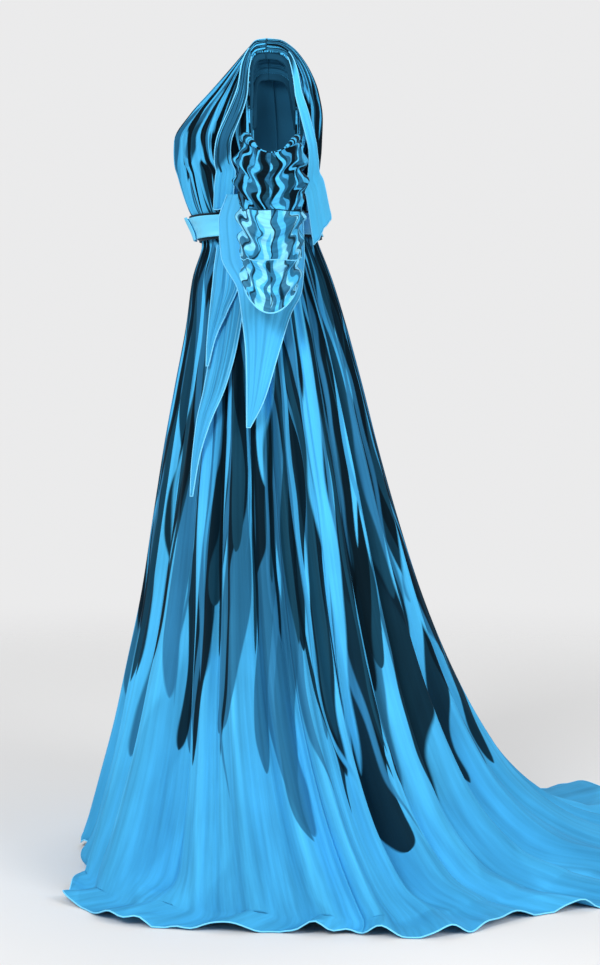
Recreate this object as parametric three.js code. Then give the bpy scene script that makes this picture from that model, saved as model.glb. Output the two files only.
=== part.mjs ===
import * as THREE from 'three';

// Evening gown with a train, an open shoulder and ruched elbow sleeves, filled out and hollow.
// Millimetres, +Z up. The wearer faces -Y and has the left side at +X. The origin is midway
// between the shoulder straps, at the height of their tops. Every cloth piece is a thin closed
// wall through rings or sections, and heights in the tables are above the floor.

// Driving dimensions
const SHOULDER_HEIGHT = 1440;
const CHIFFON = 1.5;
const SATIN = 2.5;
const BAND_CLOTH = 2;
const SEAM_GAP = 0.3;
const EDGE_SETTLE = 12;
const FLOOR_CLEARANCE = 3;

// Folds and gathers
const SKIRT_FOLDS = 27;
const BODICE_FOLDS = 5;
const SLEEVE_PUFFS = 5;
const COLUMNS_PER_FOLD = 4;

// Grid of each wall
const SLEEVE_COLUMNS = 18;
const SLEEVE_ROWS = 13;

const SKY = '#4db8f9';
const PALE = '#8fd6ff';
const TEAL = '#2a6a92';
const NAVY = '#02141f';

// Numbers the rows of a table evenly from 0 at its top to 1 at its end
function numbered(rows) {
  return rows.map((row, index) => ({ along: index / (rows.length - 1), ...row }));
}

// The skirt from the waist seam (along 0) down to where it meets the floor, then out to the hem.
// front, back and middle are places along Y, and half is the half width. square goes from an
// oval ring (0) to the plan of the floor ring (1). fold is the fold depth over the fold's width,
// and lie spreads the cloth on the floor from the floor ring (0) to the hem (1).
const SKIRT = numbered([
  { height: 1112.85, front: -112, back: 86, half: 128, middle: -5, square: 0, fold: 0.07, lie: 0 },
  { height: 1086, front: -109, back: 95, half: 134, middle: -4, square: 0, fold: 0.09, lie: 0 },
  { height: 1029, front: -124, back: 116, half: 158, middle: 0, square: 0, fold: 0.14, lie: 0 },
  { height: 942, front: -134, back: 142, half: 194, middle: 5, square: 0, fold: 0.17, lie: 0 },
  { height: 840, front: -151, back: 169, half: 234, middle: 10, square: 0, fold: 0.19, lie: 0 },
  { height: 726, front: -170, back: 197, half: 278, middle: 18, square: 0, fold: 0.2, lie: 0 },
  { height: 596, front: -189, back: 233, half: 327, middle: 28, square: 0.1, fold: 0.2, lie: 0 },
  { height: 462, front: -208, back: 275, half: 380, middle: 42, square: 0.25, fold: 0.2, lie: 0 },
  { height: 334, front: -234, back: 327, half: 434, middle: 60, square: 0.45, fold: 0.19, lie: 0 },
  { height: 226, front: -257, back: 384, half: 484, middle: 85, square: 0.65, fold: 0.18, lie: 0 },
  { height: 143, front: -279, back: 442, half: 526, middle: 110, square: 0.8, fold: 0.17, lie: 0 },
  { height: 86, front: -296, back: 507, half: 558, middle: 132, square: 0.9, fold: 0.15, lie: 0 },
  { height: 46, front: -310, back: 585, half: 584, middle: 150, square: 1, fold: 0.12, lie: 0 },
  { height: 22, front: -319, back: 676, half: 602, middle: 162, square: 1, fold: 0.11, lie: 0 },
  { height: 14, front: -323, back: 690, half: 606, middle: 164, square: 1, fold: 0.1, lie: 0.5 },
  { height: 8, front: -326, back: 700, half: 608, middle: 166, square: 1, fold: 0.09, lie: 1 },
]);

// Plan of the ring that meets the floor: side is a share of the half width, reach a share of the
// depth in front of (-) or behind (+) the widest place. Turn is in degrees from the centre front.
// The first and last rows carry the plan past the centre front and back, as its mirror image.
const FLOOR_RING = [
  { turn: -18, side: -0.36, reach: -0.955 },
  { turn: 0, side: 0, reach: -1 },
  { turn: 18, side: 0.36, reach: -0.955 },
  { turn: 36, side: 0.66, reach: -0.9 },
  { turn: 54, side: 0.86, reach: -0.64 },
  { turn: 72, side: 0.965, reach: -0.3 },
  { turn: 90, side: 1, reach: 0 },
  { turn: 110, side: 0.91, reach: 0.24 },
  { turn: 130, side: 0.73, reach: 0.46 },
  { turn: 145, side: 0.55, reach: 0.67 },
  { turn: 160, side: 0.33, reach: 0.87 },
  { turn: 170, side: 0.165, reach: 0.965 },
  { turn: 180, side: 0, reach: 1 },
  { turn: 190, side: -0.165, reach: 0.965 },
];

// Plan of the hem as it lies on the floor, with the train behind
const HEM = [
  { turn: -10, left: -125, right: -110, back: -305 },
  { turn: 0, left: 0, right: 0, back: -326 },
  { turn: 10, left: 125, right: 110, back: -305 },
  { turn: 18, left: 214, right: 206, back: -293 },
  { turn: 27, left: 302, right: 310, back: -315 },
  { turn: 36, left: 388, right: 392, back: -325 },
  { turn: 45, left: 466, right: 460, back: -282 },
  { turn: 54, left: 556, right: 536, back: -218 },
  { turn: 72, left: 604, right: 594, back: -24 },
  { turn: 90, left: 622, right: 618, back: 158 },
  { turn: 100, left: 640, right: 622, back: 240 },
  { turn: 110, left: 614, right: 590, back: 316 },
  { turn: 120, left: 534, right: 552, back: 396 },
  { turn: 130, left: 474, right: 540, back: 488 },
  { turn: 140, left: 444, right: 540, back: 584 },
  { turn: 150, left: 430, right: 512, back: 700 },
  { turn: 160, left: 382, right: 430, back: 842 },
  { turn: 170, left: 246, right: 262, back: 988 },
  { turn: 180, left: 0, right: 0, back: 1052 },
  { turn: 190, left: -246, right: -262, back: 988 },
];

// Places where the skirt falls inwards in one deep fold
const DEEP_FOLDS = [
  { turn: 50, width: 5.5, depth: 62 },
  { turn: 112, width: 5, depth: 34 },
  { turn: 154, width: 5, depth: 30 },
  { turn: -44, width: 5.5, depth: 56 },
  { turn: -104, width: 5, depth: 36 },
  { turn: -150, width: 5, depth: 30 },
  { turn: 8, width: 4.5, depth: 26 },
];

// Half of the bodice front, from the shoulder seam (along 0) to the waist seam. The neck edge runs
// into the centre front, and the side edge is the armhole above the underarm and the side seam
// below it. bust is how far the cloth stands forward over the bust, and drop is how far the side
// edge lies below the neck edge.
const BODICE_FRONT = numbered([
  { height: 1439, neckX: 110, neckY: 4.6, sideX: 148, sideY: 4.6, bust: 0, drop: 26 },
  { height: 1436.5, neckX: 109, neckY: -12, sideX: 148, sideY: -10, bust: 0, drop: 26 },
  { height: 1424, neckX: 107, neckY: -25, sideX: 149, sideY: -20, bust: 0, drop: 24 },
  { height: 1392, neckX: 95, neckY: -53, sideX: 154, sideY: -24, bust: 0, drop: 14 },
  { height: 1352, neckX: 78, neckY: -88, sideX: 160, sideY: -24, bust: 1, drop: 5 },
  { height: 1310, neckX: 53, neckY: -126, sideX: 163, sideY: -24, bust: 4, drop: 0 },
  { height: 1268, neckX: 29, neckY: -152, sideX: 164, sideY: -22, bust: 8, drop: 0 },
  { height: 1232, neckX: 9, neckY: -154, sideX: 163, sideY: -10, bust: 8, drop: 0 },
  { height: 1204, neckX: 0.15, neckY: -150, sideX: 160, sideY: 11.85, bust: 6, drop: 0 },
  { height: 1150, neckX: 0.15, neckY: -135, sideX: 142, sideY: 5.85, bust: 3, drop: 0 },
  { height: 1113.15, neckX: 0.15, neckY: -112, sideX: 128, sideY: -5.15, bust: 0, drop: 0 },
]);

// Half of the bodice back, laid out as the front is
const BODICE_BACK = numbered([
  { height: 1439, neckX: 110, neckY: 5.4, sideX: 148, sideY: 5.4, bust: 0, drop: 26 },
  { height: 1437, neckX: 109, neckY: 27, sideX: 148, sideY: 24, bust: 0, drop: 26 },
  { height: 1424, neckX: 107, neckY: 50, sideX: 149, sideY: 42, bust: 0, drop: 24 },
  { height: 1390, neckX: 92, neckY: 77, sideX: 154, sideY: 50, bust: 0, drop: 14 },
  { height: 1350, neckX: 67, neckY: 93, sideX: 160, sideY: 54, bust: 0, drop: 5 },
  { height: 1308, neckX: 36, neckY: 99, sideX: 163, sideY: 57, bust: 1, drop: 0 },
  { height: 1266, neckX: 8, neckY: 97, sideX: 164, sideY: 56, bust: 1, drop: 0 },
  { height: 1232, neckX: 0.15, neckY: 96, sideX: 163, sideY: 42, bust: 0, drop: 0 },
  { height: 1204, neckX: 0.15, neckY: 94, sideX: 160, sideY: 12.15, bust: 0, drop: 0 },
  { height: 1150, neckX: 0.15, neckY: 89, sideX: 142, sideY: 6.15, bust: 0, drop: 0 },
  { height: 1113.15, neckX: 0.15, neckY: 86, sideX: 128, sideY: -4.85, bust: 0, drop: 0 },
]);

// Inside face of the dark band that covers the waist seam. lift raises it towards the back.
const WAISTBAND = [
  { down: 0.0, height: 1139, front: -133.5, back: 97, half: 143.5, middle: -1 },
  { down: 0.25, height: 1129, front: -127.5, back: 96, half: 140.5, middle: -3 },
  { down: 0.5, height: 1118, front: -121.5, back: 95, half: 138.5, middle: -4 },
  { down: 0.75, height: 1106, front: -117, back: 97, half: 139.5, middle: -4 },
  { down: 1.0, height: 1094, front: -115, back: 101, half: 142, middle: -4 },
];
const WAISTBAND_LIFT = 3;
const BELT_TOP = 0.1;
const BELT_BOTTOM = 0.9;
const LOOP_HALF_TURN = 9;
const LOOP_BULGE = 5;
const LOOP_CLEAR = 1.8;

// Sleeve rings from the armhole (down 0) to the elbow
const SLEEVE = [
  { down: 0.0, centreX: 219, centreY: 15, halfX: 51, halfY: 46, inward: 35 },
  { down: 0.08, centreX: 223, centreY: 14, halfX: 50, halfY: 54, inward: 24 },
  { down: 0.2, centreX: 227, centreY: 12, halfX: 51, halfY: 60, inward: 10 },
  { down: 0.45, centreX: 232, centreY: 15, halfX: 50, halfY: 56, inward: 3 },
  { down: 0.75, centreX: 239, centreY: 14, halfX: 47, halfY: 52, inward: 0 },
  { down: 1.0, centreX: 243, centreY: 14, halfX: 43, halfY: 45, inward: 0 },
];
const SLEEVE_TOP = { outer: 1231, side: 1262, inner: 1206 };
const SLEEVE_END = { outer: 962, side: 1008, inner: 1002 };
const RUCHE_DEPTH = 3.5;

// Plain sheer panel that hangs between the sleeve and the body down to a point
const SLEEVE_DRAPE = [
  { down: 0.0, height: 1168, out: 163.5, front: -62, back: 60 },
  { down: 0.12, height: 1122, out: 163, front: -76, back: 68 },
  { down: 0.26, height: 1062, out: 168, front: -72, back: 70 },
  { down: 0.4, height: 1004, out: 190, front: -43, back: 66 },
  { down: 0.52, height: 962, out: 209, front: -36, back: 47 },
  { down: 0.7, height: 890, out: 239, front: -28, back: 25 },
  { down: 0.88, height: 815, out: 269, front: -26, back: 2 },
  { down: 1.0, height: 772, out: 285, front: -26, back: -20 },
];

// Pointed panels that hang from the waist over the front of the skirt, from the skirt's own
// surface moved out: first and last are turns from the centre front.
const LONG_DRAPE = [
  { down: 0.0, along: 0.075, first: 50, last: 77, proud: 9 },
  { down: 0.25, along: 0.165, first: 54, last: 76, proud: 13 },
  { down: 0.45, along: 0.227, first: 54.5, last: 72, proud: 16 },
  { down: 0.62, along: 0.273, first: 53, last: 66, proud: 18 },
  { down: 0.78, along: 0.307, first: 50.5, last: 59, proud: 20 },
  { down: 0.9, along: 0.343, first: 50, last: 54, proud: 21 },
  { down: 1.0, along: 0.373, first: 51, last: 52.4, proud: 22 },
];
const SHORT_DRAPE = [
  { down: 0.0, along: 0.075, first: 51, last: 74, proud: 15 },
  { down: 0.3, along: 0.152, first: 54, last: 73, proud: 20 },
  { down: 0.55, along: 0.187, first: 54, last: 66.5, proud: 23 },
  { down: 0.8, along: 0.22, first: 54.5, last: 60, proud: 26 },
  { down: 1.0, along: 0.25, first: 56, last: 57.5, proud: 28 },
];

// Loose strips from the shoulder strap beside the open shoulder. first and last are places
// across the bodice half from the neck edge, and proud is how far the strip stands off it.
const FRONT_FLUTTER = [
  { down: 0.0, along: 0.19, first: 0.62, last: 0.98, proud: 5 },
  { down: 0.3, along: 0.4, first: 0.82, last: 0.98, proud: 9 },
  { down: 0.62, along: 0.66, first: 0.7, last: 0.82, proud: 12 },
  { down: 1.0, along: 0.9, first: 0.6, last: 0.74, proud: 17 },
];
const BACK_FLUTTER = [
  { down: 0.0, along: 0.19, first: 0.8, last: 0.98, proud: 4 },
  { down: 0.3, along: 0.4, first: 0.87, last: 0.99, proud: 8 },
  { down: 0.6, along: 0.68, first: 0.52, last: 0.73, proud: 15 },
  { down: 1.0, along: 0.915, first: 0.27, last: 0.57, proud: 38 },
];
const BACK_FLUTTER_DROP = 50;

// The same strips on the wearer's right fall closed over the open shoulder, outside the sleeve
const CLOSED_FLUTTER = [
  { down: 0.0, height: 1419, out: 153.5, reach: 34, shift: 3 },
  { down: 0.2, height: 1384, out: 180, reach: 52, shift: 8 },
  { down: 0.45, height: 1330, out: 232, reach: 70, shift: 12 },
  { down: 0.7, height: 1256, out: 280, reach: 84, shift: 14 },
  { down: 1.0, height: 1150, out: 302, reach: 90, shift: 14 },
];

const RADIAN = Math.PI / 180;
const STEP = 1e-3;

// Slope at a row that never overshoots its neighbours
function slopeAt(before, after) {
  return before * after > 0 ? (2 * before * after) / (before + after) : 0;
}

// Reads every column of a table smoothly at a place along its first column
function readTable(table, place) {
  const [key, ...columns] = Object.keys(table[0]);
  const last = table.length - 1;
  const spot = THREE.MathUtils.clamp(place, table[0][key], table[last][key]);
  let row = 0;
  while (row < last - 1 && table[row + 1][key] < spot) {
    row += 1;
  }
  const span = table[row + 1][key] - table[row][key];
  const t = (spot - table[row][key]) / span;
  const slope = (index, column) => {
    const start = table[THREE.MathUtils.clamp(index, 0, last - 1)];
    const end = table[THREE.MathUtils.clamp(index, 0, last - 1) + 1];
    return (end[column] - start[column]) / (end[key] - start[key]);
  };
  const reading = {};
  for (const column of columns) {
    const here = slope(row, column);
    const leave = slopeAt(slope(row - 1, column), here) * span;
    const arrive = slopeAt(here, slope(row + 1, column)) * span;
    const start = table[row][column];
    const end = table[row + 1][column];
    reading[column] = start * (1 + 2 * t) * (1 - t) ** 2 + leave * t * (1 - t) ** 2
      + end * t * t * (3 - 2 * t) + arrive * t * t * (t - 1);
  }
  return reading;
}

// Outward normal of a surface whose u runs from front to left to back and whose v runs down
function normalAt(surface, u, v) {
  const acrossStart = surface(Math.max(u - STEP, 0), v);
  const acrossEnd = surface(Math.min(u + STEP, 1), v);
  const downStart = surface(u, Math.max(v - STEP, 0));
  const downEnd = surface(u, Math.min(v + STEP, 1));
  const across = acrossEnd.sub(acrossStart);
  const down = downEnd.sub(downStart);
  return down.cross(across).normalize();
}

// Closed wall between an outer grid of points and an inner one
function wallGeometry(outer, inner, closed) {
  const rows = outer.length;
  const columns = outer[0].length;
  const positions = [];
  for (const grid of [outer, inner]) {
    for (const row of grid) {
      for (const point of row) {
        positions.push(point.x, point.y, point.z - SHOULDER_HEIGHT);
      }
    }
  }
  const outerAt = (row, column) => row * columns + (column % columns);
  const innerAt = (row, column) => rows * columns + outerAt(row, column);
  const faces = [];
  const addQuad = (a, b, c, d) => faces.push(a, b, c, a, c, d);
  const bands = closed ? columns : columns - 1;
  for (let column = 0; column < bands; column += 1) {
    const next = column + 1;
    for (let row = 0; row < rows - 1; row += 1) {
      const below = row + 1;
      addQuad(outerAt(row, column), outerAt(below, column), outerAt(below, next), outerAt(row, next));
      addQuad(innerAt(row, column), innerAt(row, next), innerAt(below, next), innerAt(below, column));
    }
    const end = rows - 1;
    addQuad(outerAt(0, column), outerAt(0, next), innerAt(0, next), innerAt(0, column));
    addQuad(outerAt(end, next), outerAt(end, column), innerAt(end, column), innerAt(end, next));
  }
  if (!closed) {
    const end = columns - 1;
    for (let row = 0; row < rows - 1; row += 1) {
      addQuad(outerAt(row, 0), innerAt(row, 0), innerAt(row + 1, 0), outerAt(row + 1, 0));
      addQuad(outerAt(row, end), outerAt(row + 1, end), innerAt(row + 1, end), innerAt(row, end));
    }
  }
  const geometry = new THREE.BufferGeometry();
  geometry.setAttribute('position', new THREE.Float32BufferAttribute(positions, 3));
  geometry.setIndex(faces);
  return geometry;
}

// Turns a geometry over to the wearer's other side
function mirrored(geometry) {
  const copy = geometry.clone();
  copy.scale(-1, 1, 1);
  const faces = copy.getIndex().array;
  for (let face = 0; face < faces.length; face += 3) {
    const kept = faces[face];
    faces[face] = faces[face + 1];
    faces[face + 1] = kept;
  }
  return copy;
}

// A wall of cloth on a surface: thickness goes inwards from the surface
function clothWall({ surface, columns, rows, wall, closed = false }) {
  const outer = [];
  const inner = [];
  for (let row = 0; row <= rows; row += 1) {
    outer.push([]);
    inner.push([]);
    for (let column = 0; column < columns + (closed ? 0 : 1); column += 1) {
      const u = column / columns;
      const v = row / rows;
      const point = surface(u, v);
      const thickness = typeof wall === 'function' ? wall(u, v) : wall;
      outer[row].push(point);
      inner[row].push(point.clone().addScaledVector(normalAt(surface, u, v), -thickness));
    }
  }
  return wallGeometry(outer, inner, closed);
}

const gown = new THREE.Group();

function addPiece(name, geometry, color, roughness) {
  geometry.computeVertexNormals();
  const mesh = new THREE.Mesh(geometry, new THREE.MeshStandardMaterial({ color, roughness, metalness: 0 }));
  mesh.name = name;
  gown.add(mesh);
}

function addPair(name, geometry, color, roughness) {
  addPiece(`${name}_left`, geometry, color, roughness);
  addPiece(`${name}_right`, mirrored(geometry), color, roughness);
}

// Point of an oval ring at a turn from the centre front, positive towards the wearer's left
function ringPoint(ring, turn) {
  const forward = Math.cos(turn * RADIAN);
  const depth = forward > 0 ? ring.middle - ring.front : ring.back - ring.middle;
  return new THREE.Vector3(ring.half * Math.sin(turn * RADIAN), ring.middle - depth * forward, ring.height);
}

// Skirt without its folds
function skirtBase(turn, along) {
  const ring = readTable(SKIRT, along);
  const point = ringPoint(ring, turn);
  const plan = readTable(FLOOR_RING, Math.abs(turn));
  const hem = readTable(HEM, Math.abs(turn));
  const depth = plan.reach < 0 ? ring.middle - ring.front : ring.back - ring.middle;
  const lowX = Math.sign(turn) * ring.half * plan.side;
  const lowY = ring.middle + depth * plan.reach;
  point.lerp(new THREE.Vector3(lowX, lowY, ring.height), ring.square);
  const spread = new THREE.Vector3(turn > 0 ? hem.left : -hem.right, hem.back, ring.height);
  return point.lerp(spread, ring.lie);
}

// Outward normal and the length of one degree of turn on the unfolded skirt
function skirtFrame(turn, along) {
  const across = skirtBase(turn + STEP, along).sub(skirtBase(turn - STEP, along));
  const down = skirtBase(turn, Math.min(along + STEP, 1)).sub(skirtBase(turn, Math.max(along - STEP, 0)));
  const degree = across.length() / (2 * STEP);
  return { normal: down.cross(across).normalize(), degree };
}

// Uneven wave round the waist, from -1 to 1 at its strongest folds
function foldWave(turn, folds) {
  const angle = turn * RADIAN;
  const phase = folds * angle + 0.9 * Math.sin(3 * angle + 0.6) + 0.6 * Math.sin(7 * angle + 2.1);
  const strength = 0.78 + 0.22 * Math.sin(5 * angle + 1.3);
  return strength * Math.cos(phase);
}

function deepFold(turn, along) {
  const grown = THREE.MathUtils.smoothstep(along, 0.35, 0.68);
  let depth = 0;
  for (const fold of DEEP_FOLDS) {
    depth += fold.depth * Math.exp(-(((turn - fold.turn) / fold.width) ** 2));
  }
  return depth * grown * (1 - THREE.MathUtils.smoothstep(along, 0.74, 0.87));
}

// Depth of the even folds, a share of a fold's mean width
function foldDepth(along) {
  const ring = readTable(SKIRT, along);
  const radius = (2 * ring.half + ring.back - ring.front) / 4;
  return (ring.fold * 2 * Math.PI * radius) / SKIRT_FOLDS;
}

// Skirt with its folds
function skirtPoint(turn, along) {
  const base = skirtBase(turn, along);
  const height = foldWave(turn, SKIRT_FOLDS) * foldDepth(along) - deepFold(turn, along);
  const point = base.clone().addScaledVector(skirtFrame(turn, along).normal, height);
  point.z = THREE.MathUtils.lerp(base.z, point.z, Math.min(1, EDGE_SETTLE * along));
  point.z = Math.max(point.z, FLOOR_CLEARANCE);
  return point;
}

// One skirt panel between two seams, each drawn back from its seam by half the gap
function skirtPanel(firstTurn, lastTurn) {
  const surface = (u, v) => {
    const first = firstTurn + SEAM_GAP / 2 / skirtFrame(firstTurn, v).degree;
    const last = lastTurn - SEAM_GAP / 2 / skirtFrame(lastTurn, v).degree;
    return skirtPoint(first + (last - first) * u, v);
  };
  const columns = Math.round((COLUMNS_PER_FOLD * SKIRT_FOLDS * (lastTurn - firstTurn)) / 360);
  return clothWall({ surface, columns, rows: SKIRT.length - 1, wall: CHIFFON });
}

addPiece('skirt_front', skirtPanel(-90, 90), SKY, 0.7);
addPiece('skirt_back_left', skirtPanel(90, 180), TEAL, 0.7);
addPiece('skirt_back_right', skirtPanel(-180, -90), TEAL, 0.7);

// Short lining inside the skirt
const LINING_TOP = 0.067;
const LINING_END = 0.345;
const LINING_COLUMNS = 32;
const LINING_ROWS = 4;
const LINING_CLEAR = 5;
function liningPoint(u, v) {
  const turn = 360 * u - 180;
  const along = LINING_TOP + (LINING_END - LINING_TOP) * v;
  const inside = -foldDepth(along) - LINING_CLEAR;
  const point = skirtBase(turn, along).addScaledVector(skirtFrame(turn, along).normal, inside);
  point.z = readTable(SKIRT, along).height;
  return point;
}
addPiece('skirt_lining', clothWall({
  surface: liningPoint, columns: LINING_COLUMNS, rows: LINING_ROWS, wall: CHIFFON, closed: true,
}), TEAL, 0.6);

// Pointed panels over the skirt
function skirtDrape(table, columns, rows) {
  const surface = (u, v) => {
    const row = readTable(table, v);
    const turn = row.first + (row.last - row.first) * u;
    const { normal } = skirtFrame(turn, row.along);
    const wave = 2.5 * Math.sin(3 * Math.PI * u) * Math.sin(Math.PI * v);
    return skirtBase(turn, row.along).addScaledVector(normal, row.proud + wave);
  };
  return clothWall({ surface, columns, rows, wall: CHIFFON });
}
addPair('drape_long', skirtDrape(LONG_DRAPE, 6, 8), SKY, 0.6);
addPair('drape_short', skirtDrape(SHORT_DRAPE, 6, 5), PALE, 0.6);

// Bodice half: each section is a quarter oval from the neck edge to the side edge, drawn
// straight where the strap is gathered
const QUARTER_OVAL = Math.SQRT1_2;
const STRAP_END = 0.3;
function bodicePoint(table, u, down) {
  const row = readTable(table, down);
  const start = (1 - u) ** 2;
  const corner = 2 * QUARTER_OVAL * u * (1 - u);
  const end = u ** 2;
  const total = start + corner + end;
  const round = THREE.MathUtils.smoothstep(down, 0, STRAP_END) / 2;
  const cornerX = THREE.MathUtils.lerp(row.neckX, row.sideX, 0.5 + round);
  const cornerY = THREE.MathUtils.lerp(row.sideY, row.neckY, 0.5 + round);
  const x = (start * row.neckX + corner * cornerX + end * row.sideX) / total;
  const y = (start * row.neckY + corner * cornerY + end * row.sideY) / total;
  const forward = Math.sign(row.neckY - row.sideY);
  const bust = row.bust * Math.exp(-(((u - 0.36) / 0.22) ** 2));
  return new THREE.Vector3(x, y + forward * bust, row.height - row.drop * u ** 2);
}

function bodiceNormal(table, u, down) {
  const normal = normalAt((place, fall) => bodicePoint(table, place, fall), u, down);
  return table === BODICE_BACK ? normal.negate() : normal;
}

// Gathers spread from the strap, are deepest over the bust and lie calm along the edges
function bodiceSurface(table) {
  return (u, v) => {
    const place = table === BODICE_BACK ? 1 - u : u;
    const width = bodicePoint(table, 1, v).distanceTo(bodicePoint(table, 0, v));
    const calm = THREE.MathUtils.smoothstep(Math.min(place, 1 - place), 0, 0.17);
    const gather = Math.min(1, 0.35 + v * 1.6, 0.3 + (1 - v) * 2);
    const depth = 0.16 * (width / BODICE_FOLDS) * calm * gather;
    const wave = Math.cos(2 * Math.PI * BODICE_FOLDS * place + 0.8 * Math.sin(5 * place + 3 * v));
    const base = bodicePoint(table, place, v);
    const point = base.clone().addScaledVector(bodiceNormal(table, place, v), depth * wave);
    point.z = THREE.MathUtils.lerp(base.z, point.z, Math.min(1, EDGE_SETTLE * (1 - v)));
    return point;
  };
}

function bodiceHalf(table) {
  const columns = BODICE_FOLDS * COLUMNS_PER_FOLD;
  return clothWall({ surface: bodiceSurface(table), columns, rows: table.length - 1, wall: CHIFFON });
}
addPair('bodice_front', bodiceHalf(BODICE_FRONT), SKY, 0.6);
addPair('bodice_back', bodiceHalf(BODICE_BACK), TEAL, 0.6);

// Rings round the waist: proud moves them out from the inside face of the band
function waistRing(turn, down, proud) {
  const ring = readTable(WAISTBAND, down);
  const point = ringPoint(ring, turn);
  const outward = new THREE.Vector3(Math.sin(turn * RADIAN), -Math.cos(turn * RADIAN), 0);
  point.addScaledVector(outward, proud);
  point.z += WAISTBAND_LIFT * (1 - Math.cos(turn * RADIAN));
  return point;
}
const WAIST_COLUMNS = 36;
const BELT_CLEAR = 1.4;
const BELT_PROUD = BAND_CLOTH + BELT_CLEAR + SATIN;
addPiece('waistband', clothWall({
  surface: (u, v) => waistRing(360 * u - 180, v, BAND_CLOTH),
  columns: WAIST_COLUMNS, rows: 4, wall: BAND_CLOTH, closed: true,
}), NAVY, 0.5);
addPiece('belt', clothWall({
  surface: (u, v) => waistRing(360 * u - 180, BELT_TOP + (BELT_BOTTOM - BELT_TOP) * v, BELT_PROUD),
  columns: WAIST_COLUMNS, rows: 2, wall: SATIN, closed: true,
}), PALE, 0.3);

// Covered loop over the belt at the centre front
function loopBulge(u, v) {
  return 1.5 + LOOP_BULGE * Math.sin(Math.PI * u) * Math.sqrt(Math.sin(Math.PI * (0.1 + 0.8 * v)));
}

function loopPoint(u, v) {
  const proud = BELT_PROUD + LOOP_CLEAR + loopBulge(u, v);
  return waistRing(LOOP_HALF_TURN * (2 * u - 1), 0.05 + 0.9 * v, proud);
}
addPiece('belt_loop', clothWall({
  surface: loopPoint, columns: 8, rows: 5, wall: loopBulge,
}), PALE, 0.3);

// Height of a sleeve edge that differs on its outer side, at front and back, and next to the body
function edgeHeight(edge, angle) {
  const ends = (edge.outer + edge.inner) / 2;
  const lean = (edge.outer - edge.inner) / 2;
  return (ends + edge.side) / 2 + lean * Math.cos(angle) + ((ends - edge.side) / 2) * Math.cos(2 * angle);
}

// Ruched sleeve: a tube in puffs, drawn in at each row of shirring
function sleevePoint(u, v) {
  const angle = 2 * Math.PI * u;
  const ring = readTable(SLEEVE, v);
  const shirring = Math.cos(2 * Math.PI * SLEEVE_PUFFS * v + 0.9 * Math.sin(2 * angle + 1));
  const ruche = -RUCHE_DEPTH * shirring * Math.min(1, 12 * v, 12 * (1 - v));
  const x = ring.centreX + (ring.halfX + ruche) * Math.cos(angle) - ring.inward * Math.sin(angle) ** 2;
  const y = ring.centreY + (ring.halfY + ruche) * Math.sin(angle);
  const top = edgeHeight(SLEEVE_TOP, angle);
  return new THREE.Vector3(x, y, top + (edgeHeight(SLEEVE_END, angle) - top) * v);
}
addPair('sleeve', clothWall({
  surface: sleevePoint, columns: SLEEVE_COLUMNS, rows: SLEEVE_ROWS, wall: CHIFFON, closed: true,
}), SKY, 0.6);

function sleeveDrapePoint(u, v) {
  const row = readTable(SLEEVE_DRAPE, v);
  const wave = 2 * Math.sin(4 * Math.PI * u) * Math.sin(Math.PI * v);
  return new THREE.Vector3(row.out + wave, row.front + (row.back - row.front) * u, row.height);
}
addPair('sleeve_drape', clothWall({
  surface: sleeveDrapePoint, columns: 8, rows: 8, wall: CHIFFON,
}), PALE, 0.5);

// Strips beside the open shoulder on the wearer's left
function flutterSurface(flutter, bodice, drop) {
  return (u, v) => {
    const row = readTable(flutter, v);
    const share = bodice === BODICE_BACK ? 1 - u : u;
    const place = row.first + (row.last - row.first) * share;
    const wave = 2 * Math.sin(3 * Math.PI * u) * v;
    const point = bodicePoint(bodice, place, row.along);
    point.addScaledVector(bodiceNormal(bodice, place, row.along), row.proud + wave);
    point.z -= drop * v * v * share;
    return point;
  };
}
addPiece('flutter_front_left', clothWall({
  surface: flutterSurface(FRONT_FLUTTER, BODICE_FRONT, 0), columns: 7, rows: 7, wall: CHIFFON,
}), SKY, 0.6);
addPiece('flutter_back_left', clothWall({
  surface: flutterSurface(BACK_FLUTTER, BODICE_BACK, BACK_FLUTTER_DROP), columns: 7, rows: 7, wall: CHIFFON,
}), PALE, 0.6);

// Strips closed over the open shoulder on the wearer's right: side is -1 in front and 1 behind.
// The one behind lies over the other by CLOSED_LAP at the middle.
const CLOSED_LAP = 6;
function closedFlutterSurface(side) {
  return (u, v) => {
    const row = readTable(CLOSED_FLUTTER, v);
    const share = side < 0 ? 1 - u : u;
    const outside = side < 0 ? 0 : 6;
    const y = row.shift + side * (row.reach * share - CLOSED_LAP);
    const round = 0.45 * row.reach * (share ** 2) * Math.min(1, 3 * v);
    const wave = 3 * Math.sin(3 * Math.PI * share) * v;
    const shoulder = (side < 0 ? 20 : 8) * (share ** 2) * (1 - v) ** 2;
    return new THREE.Vector3(row.out - round + wave + outside, y, row.height - shoulder);
  };
}
for (const [name, side] of [['flutter_front_right', -1], ['flutter_back_right', 1]]) {
  addPiece(name, mirrored(clothWall({
    surface: closedFlutterSurface(side), columns: 7, rows: 7, wall: CHIFFON,
  })), SKY, 0.6);
}

export default gown;
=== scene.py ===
import math

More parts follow.
